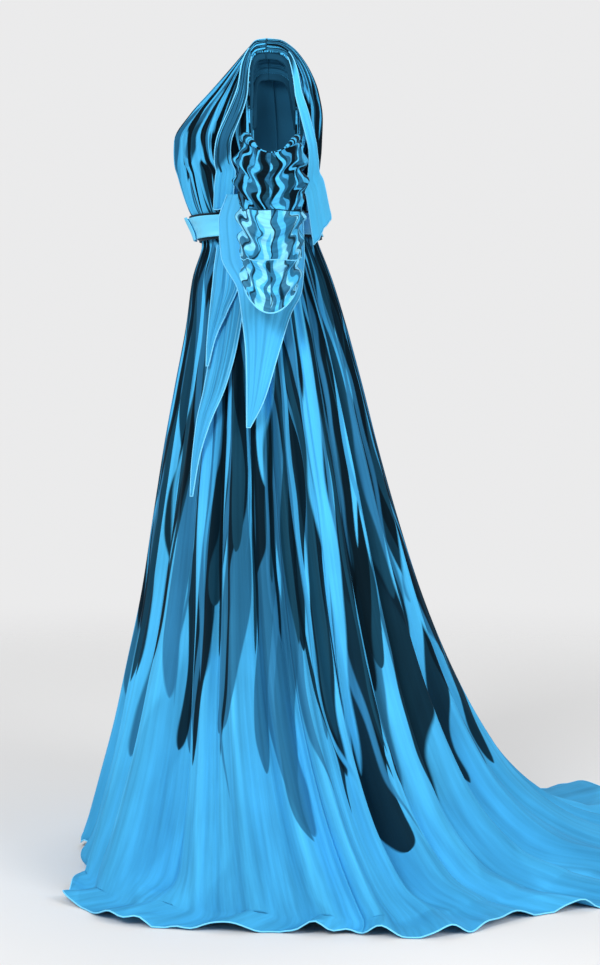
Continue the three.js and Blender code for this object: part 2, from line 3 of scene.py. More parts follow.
import bpy
import numpy as np
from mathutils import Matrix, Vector


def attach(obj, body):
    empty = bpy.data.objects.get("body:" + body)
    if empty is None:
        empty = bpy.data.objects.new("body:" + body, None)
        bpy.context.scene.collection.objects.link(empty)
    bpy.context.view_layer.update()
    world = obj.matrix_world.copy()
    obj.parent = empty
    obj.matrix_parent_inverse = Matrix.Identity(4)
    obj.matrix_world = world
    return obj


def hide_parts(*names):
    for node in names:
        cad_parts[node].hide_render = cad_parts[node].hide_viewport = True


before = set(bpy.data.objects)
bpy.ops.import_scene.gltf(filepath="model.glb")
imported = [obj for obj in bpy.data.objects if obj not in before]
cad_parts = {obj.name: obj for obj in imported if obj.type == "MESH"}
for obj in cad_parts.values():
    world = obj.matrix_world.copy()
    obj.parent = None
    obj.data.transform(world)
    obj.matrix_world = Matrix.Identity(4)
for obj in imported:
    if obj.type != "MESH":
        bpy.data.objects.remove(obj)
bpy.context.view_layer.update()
scene = bpy.context.scene
scene.view_settings.view_transform = "Standard"


# ------------------------------
# Studio: a pale floor that fades into the backdrop, and soft light from large panels. The gown
# stands on the floor on its own hem, with its straps SHOULDER_HEIGHT above it, and is seen from
# the wearer's left side.
SHOULDER_HEIGHT = 1.44
CAMERA_PLACE = Vector((4.0, 0.063, -0.55))
CAMERA_TILT = math.radians(3.233)
CAMERA_LENS = 83.03
FLOOR_SIZE = 14
FLOOR_COLOUR = (0.8, 0.8, 0.8, 1)
FLOOR_FADE = (1.2, 4.4)
BACKDROP_COLOUR = (0.83, 0.83, 0.835, 1)
BACKDROP_GLOW = 0.5
PANELS = [
    # name, place, aim, width, watts
    ("key_panel", (4.2, -1.7, 1.7), (0, 0, -0.7), 1.5, 150),
    ("fill_panel", (3.4, 3.0, 0.9), (0, 0.2, -0.7), 2.2, 105),
    ("back_panel", (-3.4, 1.2, 1.8), (0, 0, -0.4), 2.6, 50),
    ("front_panel", (-1.2, -3.8, 0.8), (0, 0, -0.7), 2.2, 40),
]

bpy.ops.object.select_all(action="DESELECT")
bpy.ops.mesh.primitive_plane_add(size=FLOOR_SIZE, location=(0, 0, -SHOULDER_HEIGHT))
floor = bpy.context.object
floor.name = "studio_floor"
floor_finish = bpy.data.materials.new("pale_floor")
floor_finish.use_nodes = True
tree = floor_finish.node_tree
place = tree.nodes.new("ShaderNodeTexCoord")
reach = tree.nodes.new("ShaderNodeVectorMath")
reach.operation = "LENGTH"
tree.links.new(place.outputs["Object"], reach.inputs[0])
fade = tree.nodes.new("ShaderNodeMapRange")
fade.interpolation_type = "SMOOTHERSTEP"
fade.inputs["From Min"].default_value = FLOOR_FADE[0]
fade.inputs["From Max"].default_value = FLOOR_FADE[1]
tree.links.new(reach.outputs["Value"], fade.inputs["Value"])
clear = tree.nodes.new("ShaderNodeBsdfTransparent")
mix = tree.nodes.new("ShaderNodeMixShader")
surface = tree.nodes["Principled BSDF"]
surface.inputs["Base Color"].default_value = FLOOR_COLOUR
surface.inputs["Roughness"].default_value = 0.9
tree.links.new(fade.outputs["Result"], mix.inputs["Fac"])
tree.links.new(surface.outputs["BSDF"], mix.inputs[1])
tree.links.new(clear.outputs["BSDF"], mix.inputs[2])
tree.links.new(mix.outputs["Shader"], tree.nodes["Material Output"].inputs["Surface"])
floor.data.materials.append(floor_finish)

world = bpy.data.worlds.new("studio_backdrop")
world.use_nodes = True
tree = world.node_tree
seen = tree.nodes["Background"]
glow = tree.nodes.new("ShaderNodeBackground")
for backdrop, strength in ((seen, 1), (glow, BACKDROP_GLOW)):
    backdrop.inputs["Color"].default_value = BACKDROP_COLOUR
    backdrop.inputs["Strength"].default_value = strength
chosen = tree.nodes.new("ShaderNodeMixShader")
tree.links.new(tree.nodes.new("ShaderNodeLightPath").outputs["Is Camera Ray"], chosen.inputs[0])
tree.links.new(glow.outputs[0], chosen.inputs[1])
tree.links.new(seen.outputs[0], chosen.inputs[2])
tree.links.new(chosen.outputs[0], tree.nodes["World Output"].inputs["Surface"])
scene.world = world

for name, spot, aim, width, watts in PANELS:
    light = bpy.data.lights.new(name, "AREA")
    light.energy = watts
    light.size = width
    panel = bpy.data.objects.new(name, light)
    panel.location = spot
    panel.rotation_euler = (Vector(aim) - Vector(spot)).to_track_quat("-Z", "Y").to_euler()
    scene.collection.objects.link(panel)

lens = bpy.data.cameras.new("side_camera")
lens.sensor_fit = "VERTICAL"
lens.sensor_height = 36
lens.lens = CAMERA_LENS
camera = bpy.data.objects.new("side_camera", lens)
camera.location = CAMERA_PLACE
aim = Vector((-math.cos(CAMERA_TILT), 0, -math.sin(CAMERA_TILT)))
camera.rotation_euler = aim.to_track_quat("-Z", "Y").to_euler()
scene.collection.objects.link(camera)
scene.camera = camera


# ------------------------------
# Skirt: three flared chiffon panels, gathered into the waist seam and cut long behind for the
# train. The panels are sewn at both sides and at the centre back, fall in uneven folds that
# widen towards the floor, and lie on it with a narrow rolled hem.
TURN = 2 * math.pi

# Lengths and tables are in millimetres, with heights above the floor, and turns in degrees from the
# centre front towards the wearer's left
SKIRT_FOLDS = 27
SEAM_GAP = 0.3
EDGE_SETTLE = 12
GATHERS, GATHER_DEPTH = 83, 1.9
FINER_FOLDS, FINER_SHARE = 55, 0.26
CLOTH_WALL, THIN_WALL = 1.2, 0.8
HEM_RADIUS, NARROW_HEM_RADIUS = 1.3, 1.1
HEM_DROP, HEM_FLOOR = 0.7, 2.4
HEM_RIPPLE, CLOTH_FLOOR = 5, 3
SKIRT = {
    "height": (1112.85, 1086, 1029, 942, 840, 726, 596, 462, 334, 226, 143, 86, 46, 22, 14, 8),
    "front": (
        -112, -109, -124, -134, -151, -170, -189, -208,
        -234, -257, -279, -296, -310, -319, -323, -326,
    ),
    "back": (86, 95, 116, 142, 169, 197, 233, 275, 327, 384, 442, 507, 585, 676, 690, 700),
    "half": (128, 134, 158, 194, 234, 278, 327, 380, 434, 484, 526, 558, 584, 602, 606, 608),
    "middle": (-5, -4, 0, 5, 10, 18, 28, 42, 60, 85, 110, 132, 150, 162, 164, 166),
    "square": (0, 0, 0, 0, 0, 0, 0.1, 0.25, 0.45, 0.65, 0.8, 0.9, 1, 1, 1, 1),
    "fold": (0.07, 0.09, 0.14, 0.17, 0.19, 0.2, 0.2, 0.2, 0.19, 0.18, 0.17, 0.15, 0.12, 0.11, 0.1, 0.09),
    "lie": (0, 0, 0, 0, 0, 0, 0, 0, 0, 0, 0, 0, 0, 0, 0.5, 1),
}
FLOOR_RING = {
    "turn": (-18, 0, 18, 36, 54, 72, 90, 110, 130, 145, 160, 170, 180, 190),
    "side": (-0.36, 0, 0.36, 0.66, 0.86, 0.965, 1, 0.91, 0.73, 0.55, 0.33, 0.165, 0, -0.165),
    "reach": (-0.955, -1, -0.955, -0.9, -0.64, -0.3, 0, 0.24, 0.46, 0.67, 0.87, 0.965, 1, 0.965),
}
HEM = {
    "turn": (-10, 0, 10, 18, 27, 36, 45, 54, 72, 90, 100, 110, 120, 130, 140, 150, 160, 170, 180, 190),
    "left": (
        -125, 0, 125, 214, 302, 388, 466, 556, 604, 622,
        640, 614, 534, 474, 444, 430, 382, 246, 0, -246,
    ),
    "right": (
        -110, 0, 110, 206, 310, 392, 460, 536, 594, 618,
        622, 590, 552, 540, 540, 512, 430, 262, 0, -262,
    ),
    "back": (
        -305, -326, -305, -293, -315, -325, -282, -218, -24, 158,
        240, 316, 396, 488, 584, 700, 842, 988, 1052, 988,
    ),
}
DEEP_FOLDS = [
    # turn, width, depth
    (50, 5.5, 62), (112, 5, 34), (154, 5, 30), (-44, 5.5, 56), (-104, 5, 36), (-150, 5, 30), (8, 4.5, 26),
]
SOFT_CREASES = [
    # turn at the top, turn at the bottom, where it starts, where it ends, width, depth
    (16, 14, 0.05, 0.72, 1.6, 3.4), (27, 30, 0.16, 0.93, 2.2, -4.6), (37, 35, 0.02, 0.55, 1.4, 3),
    (58, 61, 0.22, 0.88, 2.4, 5.2), (66, 69, 0.04, 0.64, 1.3, -3.2), (74, 77, 0.3, 0.97, 2.6, 4.8),
    (83, 84, 0.08, 0.8, 1.7, -4), (93, 96, 0.02, 0.6, 1.4, 3.6), (101, 105, 0.34, 0.95, 2.4, -5.4),
    (109, 118, 0.06, 0.74, 1.6, 3.8), (121, 127, 0.2, 0.9, 2.1, -4.4), (131, 136, 0.03, 0.68, 1.5, 3.4),
    (140, 147, 0.28, 0.98, 2.5, 5), (151, 158, 0.05, 0.82, 1.8, -3.6), (163, 169, 0.24, 0.94, 2.2, 4.4),
    (-13, -12, 0.06, 0.7, 1.7, 3.2), (-25, -29, 0.18, 0.9, 2.2, -4.4), (-35, -33, 0.03, 0.58, 1.4, 3.1),
    (-56, -60, 0.24, 0.92, 2.3, 5), (-65, -67, 0.04, 0.66, 1.4, -3.4), (-76, -79, 0.28, 0.96, 2.5, 4.6),
    (-86, -87, 0.07, 0.78, 1.7, -3.8), (-95, -99, 0.03, 0.62, 1.5, 3.5), (-106, -113, 0.3, 0.94, 2.3, -5),
    (-119, -126, 0.05, 0.72, 1.6, 3.7), (-130, -137, 0.21, 0.92, 2.2, -4.3),
    (-142, -149, 0.04, 0.8, 1.7, 3.9), (-155, -161, 0.26, 0.97, 2.4, 4.7),
    (-167, -172, 0.05, 0.76, 1.8, -3.5),
]
SKY = (0.07, 0.47, 0.84)
PALE_SKY = (0.2, 0.68, 1.0)
DEEP_SKY = (0.043, 0.31, 0.59)
TEAL = (0.017, 0.12, 0.235)
MID_TEAL = (0.026, 0.175, 0.345)
DARK_TEAL = (0.006, 0.047, 0.085)
NAVY = (0.0008, 0.007, 0.0125)
SHEEN_TINT, SHEEN_ROUGHNESS = (0.2, 0.6, 1), 0.4
GRAIN_HEIGHT = 0.0006
STREAK_DROP = 0.04
SKIRT_STREAKS = [
    # colour, share, seed, count across, width, start and its spread, end and its spread, sway and its
    # scale, bluntness, softness
    (DEEP_SKY, 0.6, 3, 15, 0.4, (0.05, 0.45), (1.3, 0.5), (0.7, 3), 7, 0.05),
    (DEEP_SKY, 0.6, 17, 8, 0.36, (-0.3, 0.9), (1.4, 0.5), (0.6, 2), 7, 0.16),
    (MID_TEAL, 1, 7, 27, 0.5, (-3, 0.5), (0.56, 0.26), (1.1, 4), 7, 0.05),
    (TEAL, 0.9, 30, 30, 0.44, (-1.2, 1.1), (0.55, 0.3), (1.2, 4), 7, 0.05),
    (NAVY, 0.96, 12, 31, 0.44, (-1, 1.1), (0.57, 0.26), (1.3, 4), 7, 0.05),
    (DARK_TEAL, 1, 25, 40, 0.3, (-0.6, 0.9), (0.5, 0.3), (1.3, 4), 7, 0.05),
    (NAVY, 0.95, 45, 38, 0.24, (-0.6, 0.8), (0.5, 0.3), (1.3, 4), 7, 0.05),
    (MID_TEAL, 0.9, 41, 33, 0.21, (-0.6, 0.8), (0.5, 0.4), (1.2, 4), 1.8, 0.05),
    (SKY, 1, 38, 18, 0.28, (-0.4, 0.6), (0.5, 0.36), (0.9, 3.4), 1.5, 0.05),
    (DEEP_SKY, 1, 52, 33, 0.17, (-0.6, 0.7), (0.42, 0.4), (1.2, 4), 1.5, 0.05),
]


def read_table(table, place):
    """Every column of a table, read smoothly at places along its first column, or at even steps where
    that column isn't a turn or a way down."""
    first = next(iter(table))
    count = len(table[first])
    placed = first in ("turn", "down")
    key = np.asarray(table[first], float) if placed else np.linspace(0, 1, count)
    spot = np.clip(place, key[0], key[-1])
    row = np.clip(np.searchsorted(key, spot, side="left") - 1, 0, count - 2)
    span = key[row + 1] - key[row]
    t = (spot - key[row]) / span
    reading = {}
    for column, values in table.items():
        if placed and column == first:
            continue
        value = np.asarray(values, float)
        rise = np.diff(value) / np.diff(key)
        slope = np.empty(count)
        slope[0], slope[-1] = rise[0], rise[-1]
        both = rise[:-1] * rise[1:]
        total = np.where(both > 0, rise[:-1] + rise[1:], 1)
        slope[1:-1] = np.where(both > 0, 2 * both / total, 0)
        reading[column] = (
            value[row] * (1 + 2 * t) * (1 - t) ** 2 + slope[row] * span * t * (1 - t) ** 2
            + value[row + 1] * t * t * (3 - 2 * t) + slope[row + 1] * span * t * t * (t - 1)
        )
    return reading


def smooth_step(value, low, high):
    t = np.clip((value - low) / (high - low), 0, 1)
    return t * t * (3 - 2 * t)


def unit(vector):
    return vector / np.linalg.norm(vector, axis=-1, keepdims=True)


def ring_point(ring, turn):
    forward = np.cos(np.radians(turn))
    depth = np.where(forward > 0, ring["middle"] - ring["front"], ring["back"] - ring["middle"])
    x = ring["half"] * np.sin(np.radians(turn))
    return np.stack([x, ring["middle"] - depth * forward, ring["height"] + 0 * x], -1)


def skirt_base(turn, along):
    ring = read_table(SKIRT, along)
    plan = read_table(FLOOR_RING, np.abs(turn))
    hem = read_table(HEM, np.abs(turn))
    point = ring_point(ring, turn)
    depth = np.where(plan["reach"] < 0, ring["middle"] - ring["front"], ring["back"] - ring["middle"])
    low = np.stack([
        np.sign(turn) * ring["half"] * plan["side"], ring["middle"] + depth * plan["reach"], ring["height"],
    ], -1)
    point += (low - point) * ring["square"][..., None]
    spread = np.stack([np.where(turn > 0, hem["left"], -hem["right"]), hem["back"], ring["height"]], -1)
    return point + (spread - point) * ring["lie"][..., None]


def skirt_frame(turn, along, step=1e-3):
    across = skirt_base(turn + step, along) - skirt_base(turn - step, along)
    down = skirt_base(turn, np.minimum(along + step, 1)) - skirt_base(turn, np.maximum(along - step, 0))
    return unit(np.cross(down, across)), np.linalg.norm(across, axis=-1) / (2 * step)


def fold_wave(turn, folds):
    angle = np.radians(turn)
    phase = folds * angle + 0.9 * np.sin(3 * angle + 0.6) + 0.6 * np.sin(7 * angle + 2.1)
    return (0.78 + 0.22 * np.sin(5 * angle + 1.3)) * np.cos(phase)


def fold_depth(along):
    ring = read_table(SKIRT, along)
    radius = (2 * ring["half"] + ring["back"] - ring["front"]) / 4
    return ring["fold"] * 2 * math.pi * radius / SKIRT_FOLDS


def small_folds(turn, along):
    """Waist gathers that open out, finer folds between the large ones, and single soft creases."""
    angle = np.radians(turn)
    gather = np.cos(GATHERS * angle + 2.2 * np.sin(4 * angle + 1) + 1.3 * np.sin(9 * angle)) * GATHER_DEPTH
    height = gather * smooth_step(along, 0, 0.03) * (1 - smooth_step(along, 0.1, 0.42))
    drift = 0.5 * np.sin(5 * along + 3 * angle)
    swell = 0.6 + 0.4 * np.sin(11 * angle + 2)
    finer = np.cos(FINER_FOLDS * angle + 1.8 * np.sin(6 * angle + 0.4) + drift) * swell
    grown, calm = smooth_step(along, 0.08, 0.3), 1 - 0.6 * smooth_step(along, 0.8, 1)
    height += FINER_SHARE * fold_depth(along) * finer * grown * calm
    for top, bottom, start, end, width, depth in SOFT_CREASES:
        share = np.clip((along - start) / (end - start), 0, 1)
        line = top + (bottom - top) * share
        height += depth * np.sin(math.pi * share) ** 0.8 * np.exp(-(((turn - line) / width) ** 2))
    return height


def deep_fold(turn, along):
    grown = smooth_step(along, 0.35, 0.68) * (1 - smooth_step(along, 0.74, 0.87))
    dents = [depth * np.exp(-(((turn - place) / width) ** 2)) for place, width, depth in DEEP_FOLDS]
    return grown * sum(dents)


def skirt_point(turn, along):
    base = skirt_base(turn, along)
    normal = skirt_frame(turn, along)[0]
    height = fold_wave(turn, SKIRT_FOLDS) * fold_depth(along) - deep_fold(turn, along)
    point = base + normal * (height + small_folds(turn, along))[..., None]
    point[..., 2] = base[..., 2] + (point[..., 2] - base[..., 2]) * np.minimum(1, EDGE_SETTLE * along)
    angle = np.radians(turn)
    swell = 0.5 + 0.5 * np.sin(13 * angle + 1)
    ripple = HEM_RIPPLE * (1 + np.sin(61 * angle + 2.5 * np.sin(5 * angle))) * swell
    point[..., 2] += ripple * smooth_step(along, 0.9, 1)
    point[..., 2] = np.maximum(point[..., 2], CLOTH_FLOOR)
    return point


def select_only(piece):
    bpy.ops.object.select_all(action="DESELECT")
    piece.select_set(True)
    bpy.context.view_layer.objects.active = piece


def add_piece(name, points, faces, corners):
    """An object from points and faces, with its UV map."""
    mesh = bpy.data.meshes.new(name)
    mesh.from_pydata(points.reshape(-1, 3).tolist(), [], faces)
    mesh.uv_layers.new(name="cloth").data.foreach_set("uv", corners.reshape(-1))
    piece = bpy.data.objects.new(name, mesh)
    scene.collection.objects.link(piece)
    return piece


def lay_cloth(name, point_at, columns, rows, closed=False, span=(0, 1)):
    """A sheet of cloth on a surface. Its UV map runs across and down the cloth as it was cut."""
    u, v = np.meshgrid(np.linspace(0, 1, columns + 1), np.linspace(0, 1, rows + 1))
    points = point_at(u, v) / 1000
    points[..., 2] -= SHOULDER_HEIGHT
    if closed:
        points = points[:, :-1]
    wide = points.shape[1]
    down, across = np.mgrid[0:rows, 0:columns]
    after = (across + 1) % wide
    above, below = down * wide, (down + 1) * wide
    faces = np.stack([above + across, below + across, below + after, above + after], -1)
    corner_u = np.stack([across, across, across + 1, across + 1], -1) / columns
    corner_v = np.stack([down, down + 1, down + 1, down], -1) / rows
    corners = np.stack([span[0] + (span[1] - span[0]) * corner_u, corner_v], -1)
    return add_piece(name, points, faces.reshape(-1, 4).tolist(), corners)


def finish_cloth(piece, thickness, outside, inside, slot, *stands_for):
    """Gives a sheet its thickness inwards, its two faces' materials and its place on the gown."""
    piece.data.materials.append(outside)
    piece.data.materials.append(inside)
    select_only(piece)
    wall = piece.modifiers.new("wall", "SOLIDIFY")
    wall.thickness = thickness / 1000
    wall.offset = -1
    wall.material_offset = 1
    bpy.ops.object.modifier_apply(modifier="wall")
    bpy.ops.object.shade_smooth()
    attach(piece, "root")
    if stands_for:
        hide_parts(*stands_for)


def rolled_edge(name, path, radius, material, sides=6, closed=False):
    """A rolled hem along an edge, as a round tube. path is in millimetres above the floor, and radius
    is one value or one for each place along it."""
    line = np.asarray(path, float) / 1000
    line[:, 2] -= SHOULDER_HEIGHT
    ahead = np.roll(line, -1, 0) - np.roll(line, 1, 0)
    if not closed:
        ahead[0], ahead[-1] = line[1] - line[0], line[-1] - line[-2]
    ahead = unit(ahead)
    side = np.empty_like(ahead)
    helper = np.array((0, 0, 1.0)) if abs(ahead[0][2]) < 0.9 else np.array((0, 1.0, 0))
    side[0] = unit(np.cross(ahead[0], helper))
    for index in range(1, len(line)):
        kept = side[index - 1] - ahead[index] * np.dot(side[index - 1], ahead[index])
        side[index] = unit(kept)
    lift = np.cross(ahead, side)
    angle = np.linspace(0, TURN, sides, endpoint=False)
    ring = np.cos(angle)[None, :, None] * side[:, None] + np.sin(angle)[None, :, None] * lift[:, None]
    points = line[:, None] + ring * np.broadcast_to(radius, len(line))[:, None, None] / 1000
    count = len(line)
    bands = count if closed else count - 1
    down, across = np.mgrid[0:bands, 0:sides]
    above, below, after = down * sides, (down + 1) % count * sides, (across + 1) % sides
    faces = np.stack([above + across, above + after, below + after, below + across], -1)
    faces = faces.reshape(-1, 4).tolist()
    if not closed:
        faces += [list(range(sides - 1, -1, -1)), [bands * sides + index for index in range(sides)]]
    corners = np.zeros((sum(map(len, faces)), 2))
    corners[:bands * sides * 4, 0] = (np.stack([down, down, down + 1, down + 1], -1) / bands).reshape(-1)
    piece = add_piece(name, points, faces, corners)
    select_only(piece)
    bpy.ops.object.mode_set(mode="EDIT")
    bpy.ops.mesh.select_all(action="SELECT")
    bpy.ops.mesh.normals_make_consistent(inside=False)
    bpy.ops.object.mode_set(mode="OBJECT")
    bpy.ops.object.shade_smooth()
    piece.data.materials.append(material)
    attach(piece, "root")
    return piece


def feed(tree, socket, value):
    """Links another node's socket to this one, or sets it to a plain number or colour."""
    if isinstance(value, bpy.types.NodeSocket):
        tree.links.new(value, socket)
    else:
        socket.default_value = (*value, 1) if isinstance(value, tuple) else value


def maths(tree, operation, *values):
    """A Math node, fed with sockets or plain numbers."""
    node = tree.nodes.new("ShaderNodeMath")
    node.operation = operation
    for place, value in enumerate(values):
        feed(tree, node.inputs[place], value)
    return node.outputs[0]


def times(tree, one, other):
    return maths(tree, "MULTIPLY", one, other)


def minus(tree, one, other):
    return maths(tree, "SUBTRACT", one, other)


def times_plus(tree, one, other, added):
    return maths(tree, "MULTIPLY_ADD", one, other, added)


def joined(tree, *values):
    """A vector made of up to three values."""
    node = tree.nodes.new("ShaderNodeCombineXYZ")
    for place, value in enumerate(values):
        feed(tree, node.inputs[place], value)
    return node.outputs[0]


def noise(tree, vector, scale, detail):
    node = tree.nodes.new("ShaderNodeTexNoise")
    for label, value in (("Vector", vector), ("Scale", scale), ("Detail", detail)):
        feed(tree, node.inputs[label], value)
    return node.outputs[0]


def ramp(tree, value, low, high, to_low=0.0, to_high=1.0):
    """A soft step from to_low to to_high between two values."""
    node = tree.nodes.new("ShaderNodeMapRange")
    node.interpolation_type = "SMOOTHSTEP"
    labels = ("Value", "From Min", "From Max", "To Min", "To Max")
    for label, given in zip(labels, (value, low, high, to_low, to_high)):
        feed(tree, node.inputs[label], given)
    return node.outputs["Result"]


def tint(tree, factor, under, over):
    """A colour laid over another by a mask."""
    node = tree.nodes.new("ShaderNodeMix")
    node.data_type = "RGBA"
    for place, value in ((0, factor), (6, under), (7, over)):
        feed(tree, node.inputs[place], value)
    return node.outputs[2]


def new_group(name, inputs, outputs):
    """An empty node group whose sockets are all numbers, with the usual values of its inputs."""
    group = bpy.data.node_groups.new(name, "ShaderNodeTree")
    for label, value in inputs.items():
        socket = group.interface.new_socket(label, in_out="INPUT", socket_type="NodeSocketFloat")
        socket.default_value = value
    for label in outputs:
        group.interface.new_socket(label, in_out="OUTPUT", socket_type="NodeSocketFloat")
    return group, group.nodes.new("NodeGroupInput").outputs, group.nodes.new("NodeGroupOutput").inputs


def use_group(tree, group, **values):
    """A group placed in a tree. Names with spaces are given with underscores."""
    node = tree.nodes.new("ShaderNodeGroup")
    node.node_tree = group
    for label, value in values.items():
        feed(tree, node.inputs[label.replace("_", " ")], value)
    return node.outputs


# Tapered streaks: one in each cell across the cloth, with its own middle, start, end and width
streaks, given, result = new_group(
    "tapered_streaks",
    {
        "Across": 0, "Down": 0, "Count": 30, "Seed": 0, "Start": 0, "Start Spread": 0.3, "End": 0.6,
        "End Spread": 0.3, "Width": 0.3, "Wobble": 0.2, "Wobble Scale": 5, "Softness": 0.05, "Blunt": 7,
    },
    ("Mask",),
)
tree = streaks
spot = joined(
    tree, times(tree, given["Across"], 9),
    times(tree, given["Down"], given["Wobble Scale"]), given["Seed"],
)
sway = minus(tree, noise(tree, spot, 1, 1.5), 0.5)
shift = times(tree, times(tree, sway, given["Wobble"]), 2)
across = times_plus(tree, given["Across"], given["Count"], shift)
chance = tree.nodes.new("ShaderNodeTexWhiteNoise")
chance.noise_dimensions = "2D"
feed(tree, chance.inputs["Vector"], joined(tree, maths(tree, "FLOOR", across), given["Seed"]))
parts = tree.nodes.new("ShaderNodeSeparateColor")
feed(tree, parts.inputs[0], chance.outputs["Color"])
middle = times(tree, minus(tree, parts.outputs[0], 0.5), 0.36)
offset = minus(tree, minus(tree, maths(tree, "FRACT", across), 0.5), middle)
start = times_plus(tree, parts.outputs[1], given["Start Spread"], given["Start"])
lower = minus(tree, parts.outputs[2], 0.5)
end = times_plus(tree, lower, given["End Spread"], given["End"])
run = minus(tree, end, start)
gone = maths(tree, "DIVIDE", minus(tree, given["Down"], start), run)
share = maths(tree, "MINIMUM", maths(tree, "MAXIMUM", gone, 0), 1)
tip = maths(tree, "POWER", share, 0.5)
foot = minus(tree, 1, maths(tree, "POWER", share, given["Blunt"]))
foot = maths(tree, "SQRT", maths(tree, "MAXIMUM", foot, 0))
breadth = times_plus(tree, chance.outputs["Value"], 0.7, 0.65)
breadth = times(tree, given["Width"], breadth)
half = times(tree, breadth, times(tree, tip, foot))
inside = minus(tree, half, maths(tree, "ABSOLUTE", offset))
feed(tree, result["Mask"], ramp(tree, inside, 0, given["Softness"]))

# Chiffon: a fine grain and long crinkles for the bump, a slow random drift in tone, and painted
# shade on the crinkles, darker in their troughs and lighter on their ridges
grain_and_crinkle_shade, given, result = new_group(
    "chiffon_grain_and_crinkle_shade", {"Size": 700, "Across": 0, "Down": 0, "Depth": 0}, ("Height", "Tone And Crinkle Shade"),
)
place = grain_and_crinkle_shade.nodes.new("ShaderNodeTexCoord").outputs["Object"]
fine = noise(grain_and_crinkle_shade, place, given["Size"], 2)
slow = noise(grain_and_crinkle_shade, place, 7, 2)
crinkle = noise(grain_and_crinkle_shade, joined(grain_and_crinkle_shade, given["Across"], given["Down"]), 1, 3)
raised = times(grain_and_crinkle_shade, crinkle, times(grain_and_crinkle_shade, given["Depth"], 9))
feed(grain_and_crinkle_shade, result["Height"], maths(grain_and_crinkle_shade, "ADD", fine, raised))
crinkle_shade = times_plus(grain_and_crinkle_shade, minus(grain_and_crinkle_shade, crinkle, 0.5), given["Depth"], 1)
feed(grain_and_crinkle_shade, result["Tone And Crinkle Shade"], times(grain_and_crinkle_shade, ramp(grain_and_crinkle_shade, slow, 0.3, 0.7, 0.92, 1.06), crinkle_shade))


def cloth_finish(name, colour, roughness, sheen, grain_depth, alpha=1.0, shine=0.04, crinkles=(0, 0, 0)):
    """A cloth material. colour is plain, or a function that builds it from the places across and down
    the cloth. crinkles counts them across and down it and gives their depth, which also sets their
    painted shade, darker in the troughs and lighter on the ridges."""
    finish = bpy.data.materials.new(name)
    finish.use_nodes = True
    tree = finish.node_tree
    surface = tree.nodes["Principled BSDF"]
    for label, value in (
        ("Roughness", roughness), ("Sheen Weight", sheen), ("Sheen Roughness", SHEEN_ROUGHNESS),
        ("Sheen Tint", SHEEN_TINT), ("Specular IOR Level", shine), ("Alpha", alpha),
    ):
        feed(tree, surface.inputs[label], value)
    uv = tree.nodes.new("ShaderNodeUVMap")
    uv.uv_map = "cloth"
    places = tree.nodes.new("ShaderNodeSeparateXYZ")
    feed(tree, places.inputs[0], uv.outputs[0])
    counted = [times(tree, places.outputs[axis], crinkles[axis]) for axis in (0, 1)]
    weave_and_crinkle_shade = use_group(tree, grain_and_crinkle_shade, Across=counted[0], Down=counted[1], Depth=crinkles[2])
    if callable(colour):
        colour = colour(tree, places.outputs[0], places.outputs[1])
    # The tone: a slow random drift, times the painted shade of the crinkles
    toned_and_shaded = tree.nodes.new("ShaderNodeHueSaturation")
    feed(tree, toned_and_shaded.inputs["Color"], colour)
    feed(tree, toned_and_shaded.inputs["Value"], weave_and_crinkle_shade["Tone And Crinkle Shade"])
    feed(tree, surface.inputs["Base Color"], toned_and_shaded.outputs[0])
    bump = tree.nodes.new("ShaderNodeBump")
    bump.inputs["Strength"].default_value = grain_depth
    bump.inputs["Distance"].default_value = GRAIN_HEIGHT
    feed(tree, bump.inputs["Height"], weave_and_crinkle_shade["Height"])
    feed(tree, surface.inputs["Normal"], bump.outputs[0])
    return finish


def streaked(tree, across, down, colour, layers):
    """A colour with layers of streaks over it, one row for each, in the columns of SKIRT_STREAKS."""
    for over, share, seed, count, width, start, end, sway, blunt, soft in layers:
        layer = use_group(
            tree, streaks, Across=across, Down=down, Seed=seed, Count=count, Width=width, Start=start[0],
            Start_Spread=start[1], End=end[0], End_Spread=end[1], Wobble=sway[0], Wobble_Scale=sway[1],
            Blunt=blunt, Softness=soft,
        )
        mask = layer["Mask"] if share == 1 else times(tree, layer["Mask"], share)
        colour = tint(tree, mask, colour, over)
    return colour


def skirt_colour(tree, across, down):
    """Sky blue in two tones, crowded with dark tongues and light wedges above and plain at the hem.
    The streaks end lower at the back."""
    behind = maths(tree, "COSINE", times(tree, across, TURN))
    lowered = minus(tree, down, times(tree, behind, STREAK_DROP))
    ground = tint(tree, ramp(tree, down, 0.35, 0.85, 0, 0.6), SKY, DEEP_SKY)
    return streaked(tree, across, lowered, ground, SKIRT_STREAKS)


skirt_print = cloth_finish("printed_chiffon_skirt", skirt_colour, 0.7, 0.04, 0.3, crinkles=(300, 5, 0.75))
skirt_inside = cloth_finish("skirt_chiffon_inside", DEEP_SKY, 0.8, 0.05, 0.2)
# The inner faces of the bodice, the sleeves and the closed flutter strips are a dark teal: painted shade
# for the gown's shaded inside, seen through the open armhole
painted_shade_inside = cloth_finish("painted_shade_chiffon_inside", (0.019, 0.125, 0.235), 0.8, 0.05, 0.2)
sky_edge = cloth_finish("rolled_sky_edge", PALE_SKY, 0.5, 0.2, 0.1)


